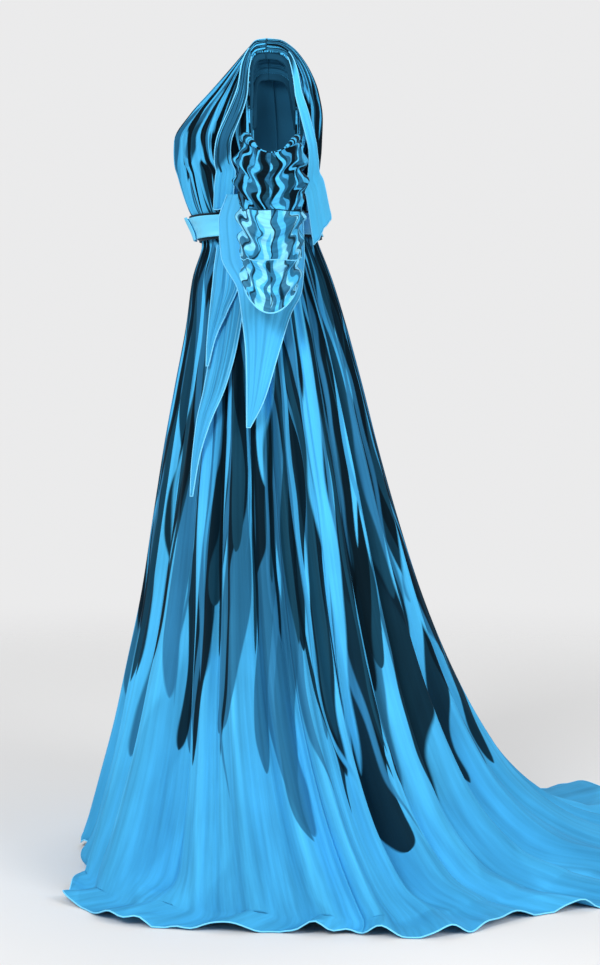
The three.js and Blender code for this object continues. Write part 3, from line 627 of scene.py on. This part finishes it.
def skirt_panel(name, first_turn, last_turn, columns, rows):
    def point_at(u, v):
        first = first_turn + SEAM_GAP / 2 / skirt_frame(first_turn + 0 * v, v)[1]
        last = last_turn - SEAM_GAP / 2 / skirt_frame(last_turn + 0 * v, v)[1]
        return skirt_point(first + (last - first) * u, v)

    span = ((first_turn + 180) / 360, (last_turn + 180) / 360)
    piece = lay_cloth(f"{name}_cloth", point_at, columns, rows, span=span)
    edge = point_at(np.linspace(0, 1, columns // 2 + 1), np.ones(columns // 2 + 1))
    edge[:, 2] = np.maximum(edge[:, 2] - HEM_DROP, HEM_FLOOR)
    hem = rolled_edge(f"{name}_hem", edge, HEM_RADIUS, sky_edge)
    finish_cloth(piece, CLOTH_WALL, skirt_print, skirt_inside, "printed_chiffon", name)


skirt_panel("skirt_front", -90, 90, 396, 110)
skirt_panel("skirt_back_left", 90, 180, 198, 130)
skirt_panel("skirt_back_right", -180, -90, 198, 130)


# ------------------------------
# Lining: a short plain underskirt that hangs from the waist seam inside the chiffon, cut as a
# tube that ends above the knee.
LINING_TOP, LINING_END, LINING_CLEAR = 0.067, 0.345, 6.5


def lining_point(u, v):
    turn = 360 * u - 180
    along = LINING_TOP + (LINING_END - LINING_TOP) * v
    inwards = -fold_depth(along) - LINING_CLEAR
    point = skirt_base(turn, along) + skirt_frame(turn, along)[0] * inwards[..., None]
    point[..., 2] = read_table(SKIRT, along)["height"]
    return point


lining_finish = cloth_finish("plain_lining", (0.03, 0.15, 0.3), 0.6, 0.2, 0.2)
lining = lay_cloth("lining_cloth", lining_point, 96, 16, closed=True)
finish_cloth(lining, CLOTH_WALL, lining_finish, lining_finish, "plain_lining", "skirt_lining")


# ------------------------------
# Front overlays: pointed handkerchief panels of the same chiffon, hung in pairs from the waist
# over the front of the skirt, a long one below and a short one on top, with rolled hems.
HANDS = ((1, "left"), (-1, "right"))
EDGE_STEPS = 60
LONG_DRAPE = {
    "down": (0, 0.25, 0.45, 0.62, 0.78, 0.9, 1),
    "along": (0.075, 0.165, 0.227, 0.273, 0.307, 0.343, 0.373),
    "first": (50, 54, 54.5, 53, 50.5, 50, 51),
    "last": (77, 76, 72, 66, 59, 54, 52.4),
    "proud": (9, 13, 16, 18, 20, 21, 22),
}
SHORT_DRAPE = {
    "down": (0, 0.3, 0.55, 0.8, 1),
    "along": (0.075, 0.152, 0.187, 0.22, 0.25),
    "first": (51, 54, 54, 54.5, 56),
    "last": (74, 73, 66.5, 60, 57.5),
    "proud": (15, 20, 23, 26, 28),
}
OVERLAYS = (
    # name, table, cut, area
    ("long", LONG_DRAPE, (0.1, 0.45), 0.0225), ("short", SHORT_DRAPE, (0.078, 0.22), 0.009),
)
OVERLAY_STREAKS = [
    (DEEP_SKY, 0.9, 5, 3, 0.42, (-0.6, 0.5), (0.9, 0.5), (0.3, 3), 3, 0.12),
    (TEAL, 0.3, 6, 4, 0.3, (-0.6, 0.5), (0.8, 0.5), (0.3, 3), 2, 0.14),
    (PALE_SKY, 0.5, 9, 5, 0.16, (-0.2, 0.5), (0.9, 0.4), (0.3, 3), 2, 0.1),
]


def drape_point(table, side):
    def point_at(u, v):
        row = read_table(table, v)
        across = u if side > 0 else 1 - u
        turn = row["first"] + (row["last"] - row["first"]) * across
        ripple = 2.5 * np.sin(3 * math.pi * across) + 0.8 * np.sin(11 * math.pi * across + 3 * v)
        height = row["proud"] + ripple * np.sin(math.pi * v)
        point = skirt_base(turn, row["along"]) + skirt_frame(turn, row["along"])[0] * height[..., None]
        return point * np.array((side, 1, 1))

    return point_at


def outline_of(point_at):
    """Down one side of a sheet, along its lower edge and up the other side."""
    steps = np.linspace(0, 1, EDGE_STEPS)
    down, along, up = (0 * steps, steps), (steps, 0 * steps + 1), (0 * steps + 1, 1 - steps)
    return np.concatenate([point_at(*down), point_at(*along)[1:], point_at(*up)[1:]])


def overlay_colour(tree, across, down):
    return streaked(tree, across, down, SKY, OVERLAY_STREAKS)


overlay_finish = cloth_finish(
    "overlay_chiffon", overlay_colour, 0.65, 0.1, 0.2, alpha=0.78, crinkles=(14, 2, 0.6),
)
for side, hand in HANDS:
    for label, table, cut, area in OVERLAYS:
        name = f"drape_{label}_{hand}"
        point_at = drape_point(table, side)
        piece = lay_cloth(f"{name}_cloth", point_at, 40, 50)
        hem = rolled_edge(f"{name}_hem", outline_of(point_at), NARROW_HEM_RADIUS, sky_edge)
        finish_cloth(piece, THIN_WALL, overlay_finish, overlay_finish, "printed_chiffon", name)


# ------------------------------
# Bodice: two gathered front halves that meet in a deep V, and two back halves. Each is pleated
# into its narrow shoulder strap, rounds out over the bust or the back, and is drawn in again at
# the waist seam. The edges are rolled, and a facing is turned in along each armhole, coloured
# dark as painted shade; the shoulder seams are rolled in the same dark cloth.
BODICE_FOLDS = 5
BODICE_PLEATS = 17
STRAP_END = 0.3
EDGE_END = 0.8
NECK_RADIUS, ARMHOLE_RADIUS = 2.0, 1.6
SHOULDER_LINE = 5
FACING_END, FACING_WIDTH, FACING_INSET, FACING_WALL = 0.5, 13, 2.6, 0.6
ARMHOLE_MIDDLE = (0, 15, 1330)
BODICE_FRONT = {
    "height": (1439, 1436.5, 1424, 1392, 1352, 1310, 1268, 1232, 1204, 1150, 1113.15),
    "neckX": (110, 109, 107, 95, 78, 53, 29, 9, 0.15, 0.15, 0.15),
    "neckY": (4.6, -12, -25, -53, -88, -126, -152, -154, -150, -135, -112),
    "sideX": (148, 148, 149, 154, 160, 163, 164, 163, 160, 142, 128),
    "sideY": (4.6, -10, -20, -24, -24, -24, -22, -10, 11.85, 5.85, -5.15),
    "bust": (0, 0, 0, 0, 1, 4, 8, 8, 6, 3, 0),
    "drop": (26, 26, 24, 14, 5, 0, 0, 0, 0, 0, 0),
}
BODICE_BACK = {
    "height": (1439, 1437, 1424, 1390, 1350, 1308, 1266, 1232, 1204, 1150, 1113.15),
    "neckX": (110, 109, 107, 92, 67, 36, 8, 0.15, 0.15, 0.15, 0.15),
    "neckY": (5.4, 27, 50, 77, 93, 99, 97, 96, 94, 89, 86),
    "sideX": BODICE_FRONT["sideX"],
    "sideY": (5.4, 24, 42, 50, 54, 57, 56, 42, 12.15, 6.15, -4.85),
    "bust": (0, 0, 0, 0, 0, 1, 1, 0, 0, 0, 0),
    "drop": BODICE_FRONT["drop"],
}
BODICE_PARTS = (
    # name, table, cut
    ("front", BODICE_FRONT, (0.3, 0.38)), ("back", BODICE_BACK, (0.24, 0.38)),
)
GATHERED_SHARE = 0.66
BODICE_STREAKS = [
    (DEEP_SKY, 0.7, 2, 7, 0.3, (-0.6, 1), (1.1, 0.8), (0.8, 2.4), 2, 0.05),
    (TEAL, 1, 4, 7, 0.42, (-0.9, 1.1), (1.15, 0.9), (0.8, 2.4), 3, 0.05),
    (DARK_TEAL, 1, 14, 9, 0.32, (-0.9, 1.2), (1.1, 0.9), (0.9, 2.4), 3, 0.05),
    (NAVY, 1, 9, 8, 0.34, (-0.9, 1.1), (1.15, 0.9), (0.9, 2.4), 3, 0.05),
    (SKY, 1, 33, 7, 0.2, (-0.4, 0.8), (0.9, 0.8), (0.9, 2.4), 1.8, 0.05),
]


def bodice_point(table, u, down):
    row = read_table(table, down)
    start, corner, end = (1 - u) ** 2, 2 * math.sqrt(0.5) * u * (1 - u), u ** 2
    total = start + corner + end
    rounded = smooth_step(down, 0, STRAP_END) / 2
    corner_x = row["neckX"] + (row["sideX"] - row["neckX"]) * (0.5 + rounded)
    corner_y = row["sideY"] + (row["neckY"] - row["sideY"]) * (0.5 + rounded)
    x = (start * row["neckX"] + corner * corner_x + end * row["sideX"]) / total
    y = (start * row["neckY"] + corner * corner_y + end * row["sideY"]) / total
    bust = row["bust"] * np.exp(-(((u - 0.36) / 0.22) ** 2))
    y = y + np.sign(row["neckY"] - row["sideY"]) * bust
    return np.stack([x, y, row["height"] - row["drop"] * u ** 2], -1)


def bodice_normal(table, u, down, step=1e-3):
    right, left = np.minimum(u + step, 1), np.maximum(u - step, 0)
    below, above = np.minimum(down + step, 1), np.maximum(down - step, 0)
    across = bodice_point(table, right, down) - bodice_point(table, left, down)
    fall = bodice_point(table, u, below) - bodice_point(table, u, above)
    normal = unit(np.cross(fall, across))
    return -normal if table is BODICE_BACK else normal


def bodice_surface(table, side):
    """The gathered half. Its finer pleats run from the strap down to the waist."""
    def point_at(u, v):
        place = 1 - u if (table is BODICE_BACK) == (side > 0) else u
        width = np.linalg.norm(bodice_point(table, 1 + 0 * v, v) - bodice_point(table, 0 * v, v), axis=-1)
        calm = smooth_step(np.minimum(place, 1 - place), 0, 0.17)
        gather = np.minimum(1, np.minimum(0.35 + v * 1.6, 0.3 + (1 - v) * 2))
        wave = np.cos(TURN * BODICE_FOLDS * place + 0.8 * np.sin(5 * place + 3 * v))
        swell = 0.7 + 0.3 * np.sin(9 * place + 1)
        pleats = np.cos(TURN * BODICE_PLEATS * place + 1.6 * np.sin(4 * place + 2.5 * v)) * swell
        height = calm * gather * (0.16 * width / BODICE_FOLDS * wave + 0.012 * width * pleats)
        base = bodice_point(table, place, v)
        point = base + bodice_normal(table, place, v) * height[..., None]
        settle = np.minimum(1, EDGE_SETTLE * (1 - v))
        point[..., 2] = base[..., 2] + (point[..., 2] - base[..., 2]) * settle
        return point * np.array((side, 1, 1))

    return point_at


def bodice_colour(tree, across, down):
    """Streaks that run with the gathers, from the strap to the waist."""
    return streaked(tree, across, down, SKY, BODICE_STREAKS)


def armhole_facing(table, side):
    """A strip turned in along the open armhole, in painted shade: it shows as a dark line inside the edge.
    """
    def point_at(u, v):
        down = FACING_END * (1 - u if (table is BODICE_BACK) == (side > 0) else u)
        edge = bodice_point(table, 1 + 0 * down, down)
        middle = np.array(ARMHOLE_MIDDLE) - edge
        middle[..., 0] = 0
        level = smooth_step(down, 0, 0.25)[..., None]
        inwards = unit(unit(middle) * level + np.array((0, 0, -1.0)) * (1 - level))
        width = FACING_WIDTH * v * (1 - 0.5 * smooth_step(down, 0.2, FACING_END))
        point = edge + inwards * width[..., None]
        point[..., 0] -= FACING_INSET
        return point * np.array((side, 1, 1))

    return point_at


bodice_print = cloth_finish(
    "printed_chiffon_bodice", bodice_colour, 0.65, 0.04, 0.3, crinkles=(44, 3, 0.7),
)
# Facings and shoulder seams share one dark cloth: painted shade inside the armholes, and a dark seam line
# along the shoulders
seam_and_painted_shade_finish = cloth_finish("seam_and_painted_shade_cloth", (0.009, 0.06, 0.115), 0.8, 0.05, 0.2)
for side, hand in HANDS:
    steps = np.linspace(0, 1, 40)
    seam = bodice_point(BODICE_FRONT, steps, 0 * steps) * (side, 1, 1)
    seam = np.append(seam, seam[-1:] - ((side * FACING_INSET, 0, FACING_WIDTH),), 0)
    seam[:, 1] = SHOULDER_LINE
    rolled_edge(f"shoulder_seam_{hand}", seam, HEM_RADIUS, seam_and_painted_shade_finish)
for part, table, cut in BODICE_PARTS:
    for side, hand in HANDS:
        name = f"bodice_{part}_{hand}"
        piece = lay_cloth(f"{name}_cloth", bodice_surface(table, side), 136, 70)
        steps = np.linspace(0, 1, 50)
        neck = bodice_point(table, 0 * steps, steps * EDGE_END) * (side, 1, 1)
        neck = rolled_edge(f"{name}_neck_edge", neck, NECK_RADIUS, sky_edge)
        armhole = bodice_point(table, 0 * steps + 1, steps * EDGE_END) * (side, 1, 1)
        armhole = rolled_edge(f"{name}_armhole_edge", armhole, ARMHOLE_RADIUS, bodice_print)
        # The inner face is dark teal: painted shade for the bodice's shaded inside
        finish_cloth(piece, CLOTH_WALL, bodice_print, painted_shade_inside, "printed_chiffon", name)
        area = cut[0] * cut[1] * GATHERED_SHARE
        facing = lay_cloth(f"armhole_facing_{part}_{hand}", armhole_facing(table, side), 60, 4)
        finish_cloth(facing, FACING_WALL, seam_and_painted_shade_finish, seam_and_painted_shade_finish, "plain_lining")


# ------------------------------
# Waist: a dark band covers the waist seam, and a satin belt lies on it, drawn through a covered
# loop at the centre front.
WAISTBAND = {
    "down": (0, 0.25, 0.5, 0.75, 1),
    "height": (1139, 1129, 1118, 1106, 1094),
    "front": (-133.5, -127.5, -121.5, -117, -115),
    "back": (97, 96, 95, 97, 101),
    "half": (143.5, 140.5, 138.5, 139.5, 142),
    "middle": (-1, -3, -4, -4, -4),
}
BAND_LIFT, BAND_CLOTH, BELT_CLEAR, SATIN = 3, 2, 1.4, 2.5
BELT_PROUD = BAND_CLOTH + BELT_CLEAR + SATIN
LOOP_HALF_TURN, LOOP_BULGE, LOOP_CLEAR = 9, 5, 1.8
BAND_WALL, BELT_WALL, LOOP_WALL = 1.6, 2.2, 1.5


def waist_ring(turn, down, proud):
    ring = read_table(WAISTBAND, down)
    point = ring_point(ring, turn)
    outward = np.stack([np.sin(np.radians(turn)), -np.cos(np.radians(turn)), 0 * turn], -1)
    point = point + outward * np.asarray(proud)[..., None]
    point[..., 2] += BAND_LIFT * (1 - np.cos(np.radians(turn)))
    return point


def loop_bulge(u, v):
    return 1.5 + LOOP_BULGE * np.sin(math.pi * u) * np.sqrt(np.sin(math.pi * (0.1 + 0.8 * v)))


def band_point(u, v):
    return waist_ring(360 * u - 180, v, BAND_CLOTH + 0 * v)


def belt_point(u, v):
    """Soft lengthwise creases come and go around the belt."""
    crease = 0.5 * np.sin(TURN * 2.5 * v + 1.5 * np.sin(TURN * 3 * u))
    crease = crease * np.sin(TURN * 5 * u) ** 2
    return waist_ring(360 * u - 180, 0.1 + 0.8 * v, BELT_PROUD + crease)


def loop_point(u, v):
    proud = BELT_PROUD + LOOP_CLEAR + loop_bulge(u, v)
    return waist_ring(LOOP_HALF_TURN * (2 * u - 1), 0.05 + 0.9 * v, proud)


band_finish = cloth_finish("dark_band_cloth", (0.003, 0.012, 0.022), 0.45, 0.15, 0.2)
satin_finish = cloth_finish("satin_belt_cloth", (0.15, 0.66, 0.98), 0.35, 0.05, 0.06, shine=0.2)
band = lay_cloth("waistband_cloth", band_point, 144, 12, closed=True)
finish_cloth(band, BAND_WALL, band_finish, band_finish, "dark_band", "waistband")
belt = lay_cloth("belt_cloth", belt_point, 288, 16, closed=True)
finish_cloth(belt, BELT_WALL, satin_finish, satin_finish, "satin", "belt")
loop = lay_cloth("belt_loop_cloth", loop_point, 24, 16)
finish_cloth(loop, LOOP_WALL, satin_finish, satin_finish, "satin", "belt_loop")


# ------------------------------
# Sleeves: elbow-length tubes of the printed chiffon, drawn up on rows of elastic shirring so
# that they stand in small puffs and ridges, deepest along the front and back edges.
SLEEVE_PUFFS = 5
RUCHE_DEPTH = 3.5
SLEEVE = {
    "down": (0, 0.08, 0.2, 0.45, 0.75, 1),
    "centreX": (219, 223, 227, 232, 239, 243),
    "centreY": (15, 14, 12, 15, 14, 14),
    "halfX": (51, 50, 51, 50, 47, 43),
    "halfY": (46, 54, 60, 56, 52, 45),
    "inward": (35, 24, 10, 3, 0, 0),
}
SLEEVE_SEAMS = (0.36, 0.67)
SEAM_DIP = 0.13
SLEEVE_TOP = (1231, 1262, 1206)
SLEEVE_END = (962, 1008, 1002)
STRIPE_RUN = ((-3, 0.5), (3, 0.5), (0.9, 5), 7)
UPPER_STRIPES = [
    (TEAL, 1, 6, 10, 0.8, *STRIPE_RUN, 0.06),
    (DARK_TEAL, 1, 16, 13, 0.5, *STRIPE_RUN, 0.06),
    (NAVY, 1, 15, 12, 0.36, *STRIPE_RUN, 0.06),
    (SKY, 1, 24, 12, 0.2, *STRIPE_RUN, 0.06),
]
LOWER_STRIPES = [
    (SKY, 1, 19, 9, 0.34, *STRIPE_RUN, 0.1),
    (TEAL, 0.9, 28, 12, 0.32, *STRIPE_RUN, 0.06),
    (NAVY, 0.85, 37, 12, 0.1, *STRIPE_RUN, 0.06),
]
BAND_RUN = ((-3, 0.5), (3, 0.5), (0, 1), 7, 0.06)
ROLL_BANDS = [
    (DARK_TEAL, 1, 6, 22, 0.44, *BAND_RUN),
    (NAVY, 1, 8, 20, 0.44, *BAND_RUN),
    (SKY, 1, 12, 19, 0.16, *BAND_RUN),
]
SEAM_RADIUS, SEAM_WIDTH = 0.9, 0.045


def edge_height(edge, angle):
    outer, side, inner = edge
    ends = (outer + inner) / 2
    return (ends + side) / 2 + (outer - inner) / 2 * np.cos(angle) + (ends - side) / 2 * np.cos(2 * angle)


def sleeve_point(side):
    def point_at(u, v):
        turned = u if side > 0 else 1 - u
        angle = TURN * turned
        ring = read_table(SLEEVE, v)
        ends = np.minimum(1, 12 * np.minimum(v, 1 - v))
        shirring = np.cos(TURN * SLEEVE_PUFFS * v + 0.9 * np.sin(2 * angle + 1))
        edge = np.sin(angle) ** 2
        edges = 0.2 + 0.8 * edge
        ridges = (
            3.4 * np.sin(TURN * 8 * v + 1.8 * np.sin(2 * angle + 0.4) + 0.8 * np.sin(4 * angle))
            + 1.2 * np.sin(TURN * 14 * v + 1.6 * np.sin(3 * angle + 2) + 0.8 * np.sin(5 * angle + 1))
        )
        drawn_in = [(0, 0), *((place, SEAM_DIP) for place in SLEEVE_SEAMS), (1, 0)]
        seams = sum(np.exp(-(((v - place - dip * edge) / SEAM_WIDTH) ** 2)) for place, dip in drawn_in)
        puckers = (0.9 * np.cos(30 * angle + 2 * np.sin(9 * v)) - 1.2) * seams
        near_back = np.exp(-(((np.sin(angle / 2 - 0.72) / 0.3) ** 2)))
        pleats = 0.8 * np.cos(44 * angle) * near_back * (1 - smooth_step(v, 0.2, 0.4))
        ruche = (-RUCHE_DEPTH * shirring + ridges * edges + puckers + pleats) * ends
        x = ring["centreX"] + (ring["halfX"] + ruche) * np.cos(angle) - ring["inward"] * np.sin(angle) ** 2
        y = ring["centreY"] + (ring["halfY"] + ruche) * np.sin(angle)
        top = edge_height(SLEEVE_TOP, angle)
        sag = 3 * ends * np.sin(TURN * 6 * v + 2 * np.sin(3 * angle)) * edges
        z = top + (edge_height(SLEEVE_END, angle) - top) * v + sag
        return np.stack([x * side, y, z], -1)

    return point_at


def sleeve_colour(tree, across, down):
    """Gently waving stripes in three tones above the first seam, and paler ones below it."""
    turned = maths(tree, "COSINE", times(tree, across, 4 * math.pi))
    edge = times_plus(tree, turned, -0.5, 0.5)
    wave = maths(tree, "SINE", times_plus(tree, edge, 3, times(tree, down, 46)))
    quick = maths(tree, "SINE", times(tree, down, 91))
    finer = times(tree, quick, times(tree, edge, 0.007))
    bunched = times_plus(tree, edge, 0.014, 0.009)
    above = minus(tree, down, times(tree, edge, SEAM_DIP))
    lower = maths(tree, "GREATER_THAN", above, SLEEVE_SEAMS[0])
    last = maths(tree, "GREATER_THAN", above, SLEEVE_SEAMS[1])
    tier = maths(tree, "ADD", times(tree, lower, 0.031), times(tree, last, 0.017))
    swing = times_plus(tree, wave, bunched, finer)
    swung = maths(tree, "ADD", maths(tree, "ADD", across, tier), swing)
    top = streaked(tree, swung, down, DEEP_SKY, UPPER_STRIPES)
    pale = streaked(tree, swung, down, (0.22, 0.7, 1.0), LOWER_STRIPES)
    return tint(tree, lower, top, pale)


def roll_colour(tree, across, down):
    """Bands across the rolled armhole edge."""
    return streaked(tree, across, times(tree, down, 0), SKY, ROLL_BANDS)


sleeve_print = cloth_finish(
    "printed_chiffon_sleeve", sleeve_colour, 0.65, 0.04, 0.4, crinkles=(7, 44, 1.1),
)
roll_print = cloth_finish("printed_chiffon_roll", roll_colour, 0.65, 0.1, 0.25)
seam_finish = cloth_finish("shirring_seam", DARK_TEAL, 0.7, 0.1, 0.1)
for side, hand in HANDS:
    point_at = sleeve_point(side)
    piece = lay_cloth(f"sleeve_{hand}_cloth", point_at, 160, 150, closed=True)
    turns = np.linspace(0, 1, 160, endpoint=False)
    away = np.degrees(np.arccos(np.cos(TURN * turns)))
    thickest = 6 - 1.4 * side * np.sin(TURN * turns)
    roll = 1 + thickest * smooth_step(away, 20, 60) * (1 - 0.9 * smooth_step(away, 105, 150))
    roll *= 1 + 0.13 * np.sin(TURN * 23 * turns)
    dip = SEAM_DIP * np.sin(TURN * turns) ** 2
    for label, down, radius, finish in (
        ("top_roll", 0.004, roll, roll_print),
        ("first_seam", SLEEVE_SEAMS[0] + dip, SEAM_RADIUS, seam_finish),
        ("second_seam", SLEEVE_SEAMS[1] + dip, SEAM_RADIUS, sky_edge),
        ("hem", 0.998, HEM_RADIUS, sky_edge),
    ):
        ring = point_at(turns, 0 * turns + down)
        rolled_edge(f"sleeve_{hand}_{label}", ring, radius, finish, sides=8, closed=True)
    # The inner face is dark teal: painted shade for the sleeve's shaded inside
    finish_cloth(piece, CLOTH_WALL, sleeve_print, painted_shade_inside, "printed_chiffon", f"sleeve_{hand}")


# ------------------------------
# Sleeve drapes: plain sheer panels between the sleeve and the body, cut as long handkerchiefs
# that end in a point, with a bright rolled hem.
SLEEVE_DRAPE = {
    "down": (0, 0.12, 0.26, 0.4, 0.52, 0.7, 0.88, 1),
    "height": (1168, 1122, 1062, 1004, 962, 890, 815, 772),
    "out": (163.5, 163, 168, 190, 209, 239, 269, 285),
    "front": (-62, -76, -72, -43, -36, -28, -26, -26),
    "back": (60, 68, 70, 66, 47, 25, 2, -20),
}
SHEER_STREAKS = [(DEEP_SKY, 0.5, 8, 5, 0.3, (-0.3, 0.5), (1.2, 0.4), (0.3, 3), 3, 0.15)]


def sleeve_drape_point(side):
    def point_at(u, v):
        row = read_table(SLEEVE_DRAPE, v)
        across = u if side > 0 else 1 - u
        wave = 2 * np.sin(4 * math.pi * across) + 0.7 * np.sin(13 * math.pi * across + 4 * v)
        wave = wave * np.sin(math.pi * v)
        y = row["front"] + (row["back"] - row["front"]) * across
        return np.stack([(row["out"] + wave) * side, y, row["height"] + 0 * y], -1)

    return point_at


def sheer_colour(tree, across, down):
    """Bright beside the arm and a little deeper below it."""
    ground = tint(tree, ramp(tree, down, 0.3, 0.6), (0.11, 0.6, 1.0), SKY)
    return streaked(tree, across, down, ground, SHEER_STREAKS)


sheer_finish = cloth_finish(
    "sheer_chiffon_panel", sheer_colour, 0.6, 0.1, 0.15, alpha=0.88, crinkles=(14, 2, 0.4),
)
for side, hand in HANDS:
    name = f"sleeve_drape_{hand}"
    point_at = sleeve_drape_point(side)
    piece = lay_cloth(f"{name}_cloth", point_at, 50, 70)
    hem = rolled_edge(f"{name}_hem", outline_of(point_at), NARROW_HEM_RADIUS, sky_edge)
    finish_cloth(piece, THIN_WALL, sheer_finish, sheer_finish, "sheer_chiffon", name)


# ------------------------------
# Flutter strips: loose chiffon strips from the shoulder strap, in front of and behind the open
# shoulder. On the wearer's left they hang open, and on the right they fall closed over it.
FRONT_FLUTTER = {
    "down": (0, 0.3, 0.62, 1),
    "along": (0.19, 0.4, 0.66, 0.9),
    "first": (0.62, 0.82, 0.7, 0.6),
    "last": (0.98, 0.98, 0.82, 0.74),
    "proud": (5, 9, 12, 17),
}
BACK_FLUTTER = {
    "down": (0, 0.3, 0.6, 1),
    "along": (0.19, 0.4, 0.68, 0.915),
    "first": (0.8, 0.87, 0.52, 0.27),
    "last": (0.98, 0.99, 0.73, 0.57),
    "proud": (4, 8, 15, 38),
}
CLOSED_FLUTTER = {
    "down": (0, 0.2, 0.45, 0.7, 1),
    "height": (1419, 1384, 1330, 1256, 1150),
    "out": (153.5, 180, 232, 280, 302),
    "reach": (34, 52, 70, 84, 90),
    "shift": (3, 8, 12, 14, 14),
}
BACK_FLUTTER_DROP = 50
CLOSED_LAP, CLOSED_APART = 6, 6
FRONT_SLOPE, BACK_SLOPE = 20, 8
FLUTTER_STREAKS = [
    (SKY, 1, 11, 3, 0.3, (-1.5, 1), (0.5, 0.5), (0.5, 3), 2, 0.05),
    (DARK_TEAL, 1, 13, 3, 0.32, (-0.8, 0.8), (0.7, 0.3), (0.5, 3), 3, 0.05),
]
FLUTTER_HEM_RADIUS = 1.0

# The parts of a strip's outline that are hemmed: a closed one has no hem where it laps the other
ALL_ROUND = slice(None)
NOT_FIRST_SIDE = slice(EDGE_STEPS - 1, None)
NOT_LAST_SIDE = slice(2 * EDGE_STEPS - 1)


def open_flutter(table, bodice, drop):
    def point_at(u, v):
        row = read_table(table, v)
        share = 1 - u if bodice is BODICE_BACK else u
        place = row["first"] + (row["last"] - row["first"]) * share
        wave = 2 * np.sin(3 * math.pi * u) * v + 0.5 * np.sin(9 * math.pi * u + 2 * v) * v
        point = bodice_point(bodice, place, row["along"])
        point = point + bodice_normal(bodice, place, row["along"]) * (row["proud"] + wave)[..., None]
        point[..., 2] -= drop * v * v * share
        return point

    return point_at


def closed_flutter(front):
    def point_at(u, v):
        row = read_table(CLOSED_FLUTTER, v)
        share = u if front < 0 else 1 - u
        outside = 0 if front < 0 else CLOSED_APART
        y = row["shift"] + front * (row["reach"] * share - CLOSED_LAP)
        rounded = 0.45 * row["reach"] * share ** 2 * np.minimum(1, 3 * v)
        wave = 3 * np.sin(3 * math.pi * share) * v
        shoulder = (FRONT_SLOPE if front < 0 else BACK_SLOPE) * share ** 2 * (1 - v) ** 2
        x = row["out"] - rounded + wave + outside
        return np.stack([-x, y, row["height"] - shoulder], -1)

    return point_at


def flutter_colour(tree, across, down):
    """Dark streaks that leave the lower edge plain."""
    ground = tint(tree, ramp(tree, times_plus(tree, across, 0.12, down), 0.74, 0.8), TEAL, SKY)
    return streaked(tree, across, down, ground, FLUTTER_STREAKS)


def plain_colour(tree, across, down):
    """Dark where the strip leaves the strap, and plain sky blue below."""
    start = ramp(tree, times_plus(tree, across, 0.1, down), 0.12, 0.26)
    return tint(tree, start, DARK_TEAL, (0.085, 0.57, 0.97))


printed = cloth_finish(
    "printed_chiffon_flutter", flutter_colour, 0.65, 0.1, 0.2, alpha=0.95, crinkles=(9, 2, 0.6),
)
plain = cloth_finish("plain_chiffon_flutter", plain_colour, 0.6, 0.1, 0.15, alpha=0.9, crinkles=(9, 2, 0.3))
front_left = open_flutter(FRONT_FLUTTER, BODICE_FRONT, 0)
back_left = open_flutter(BACK_FLUTTER, BODICE_BACK, BACK_FLUTTER_DROP)
front_right, back_right = closed_flutter(-1), closed_flutter(1)
# The closed strips on the right turn their inner faces to the open armhole, and these are dark teal:
# painted shade
for label, point_at, finish, inside, hemmed, cut, area in (
    ("front_left", front_left, printed, printed, ALL_ROUND, (0.04, 0.3), 0.008),
    ("back_left", back_left, plain, plain, ALL_ROUND, (0.075, 0.32), 0.013),
    ("front_right", front_right, printed, painted_shade_inside, NOT_FIRST_SIDE, (0.1, 0.3), 0.025),
    ("back_right", back_right, plain, painted_shade_inside, NOT_LAST_SIDE, (0.1, 0.3), 0.025),
):
    name = f"flutter_{label}"
    slot = "printed_chiffon" if finish is printed else "sheer_chiffon"
    piece = lay_cloth(f"{name}_cloth", point_at, 36, 60)
    hem = rolled_edge(f"{name}_hem", outline_of(point_at)[hemmed], FLUTTER_HEM_RADIUS, sky_edge)
    finish_cloth(piece, THIN_WALL, finish, inside, slot, name)
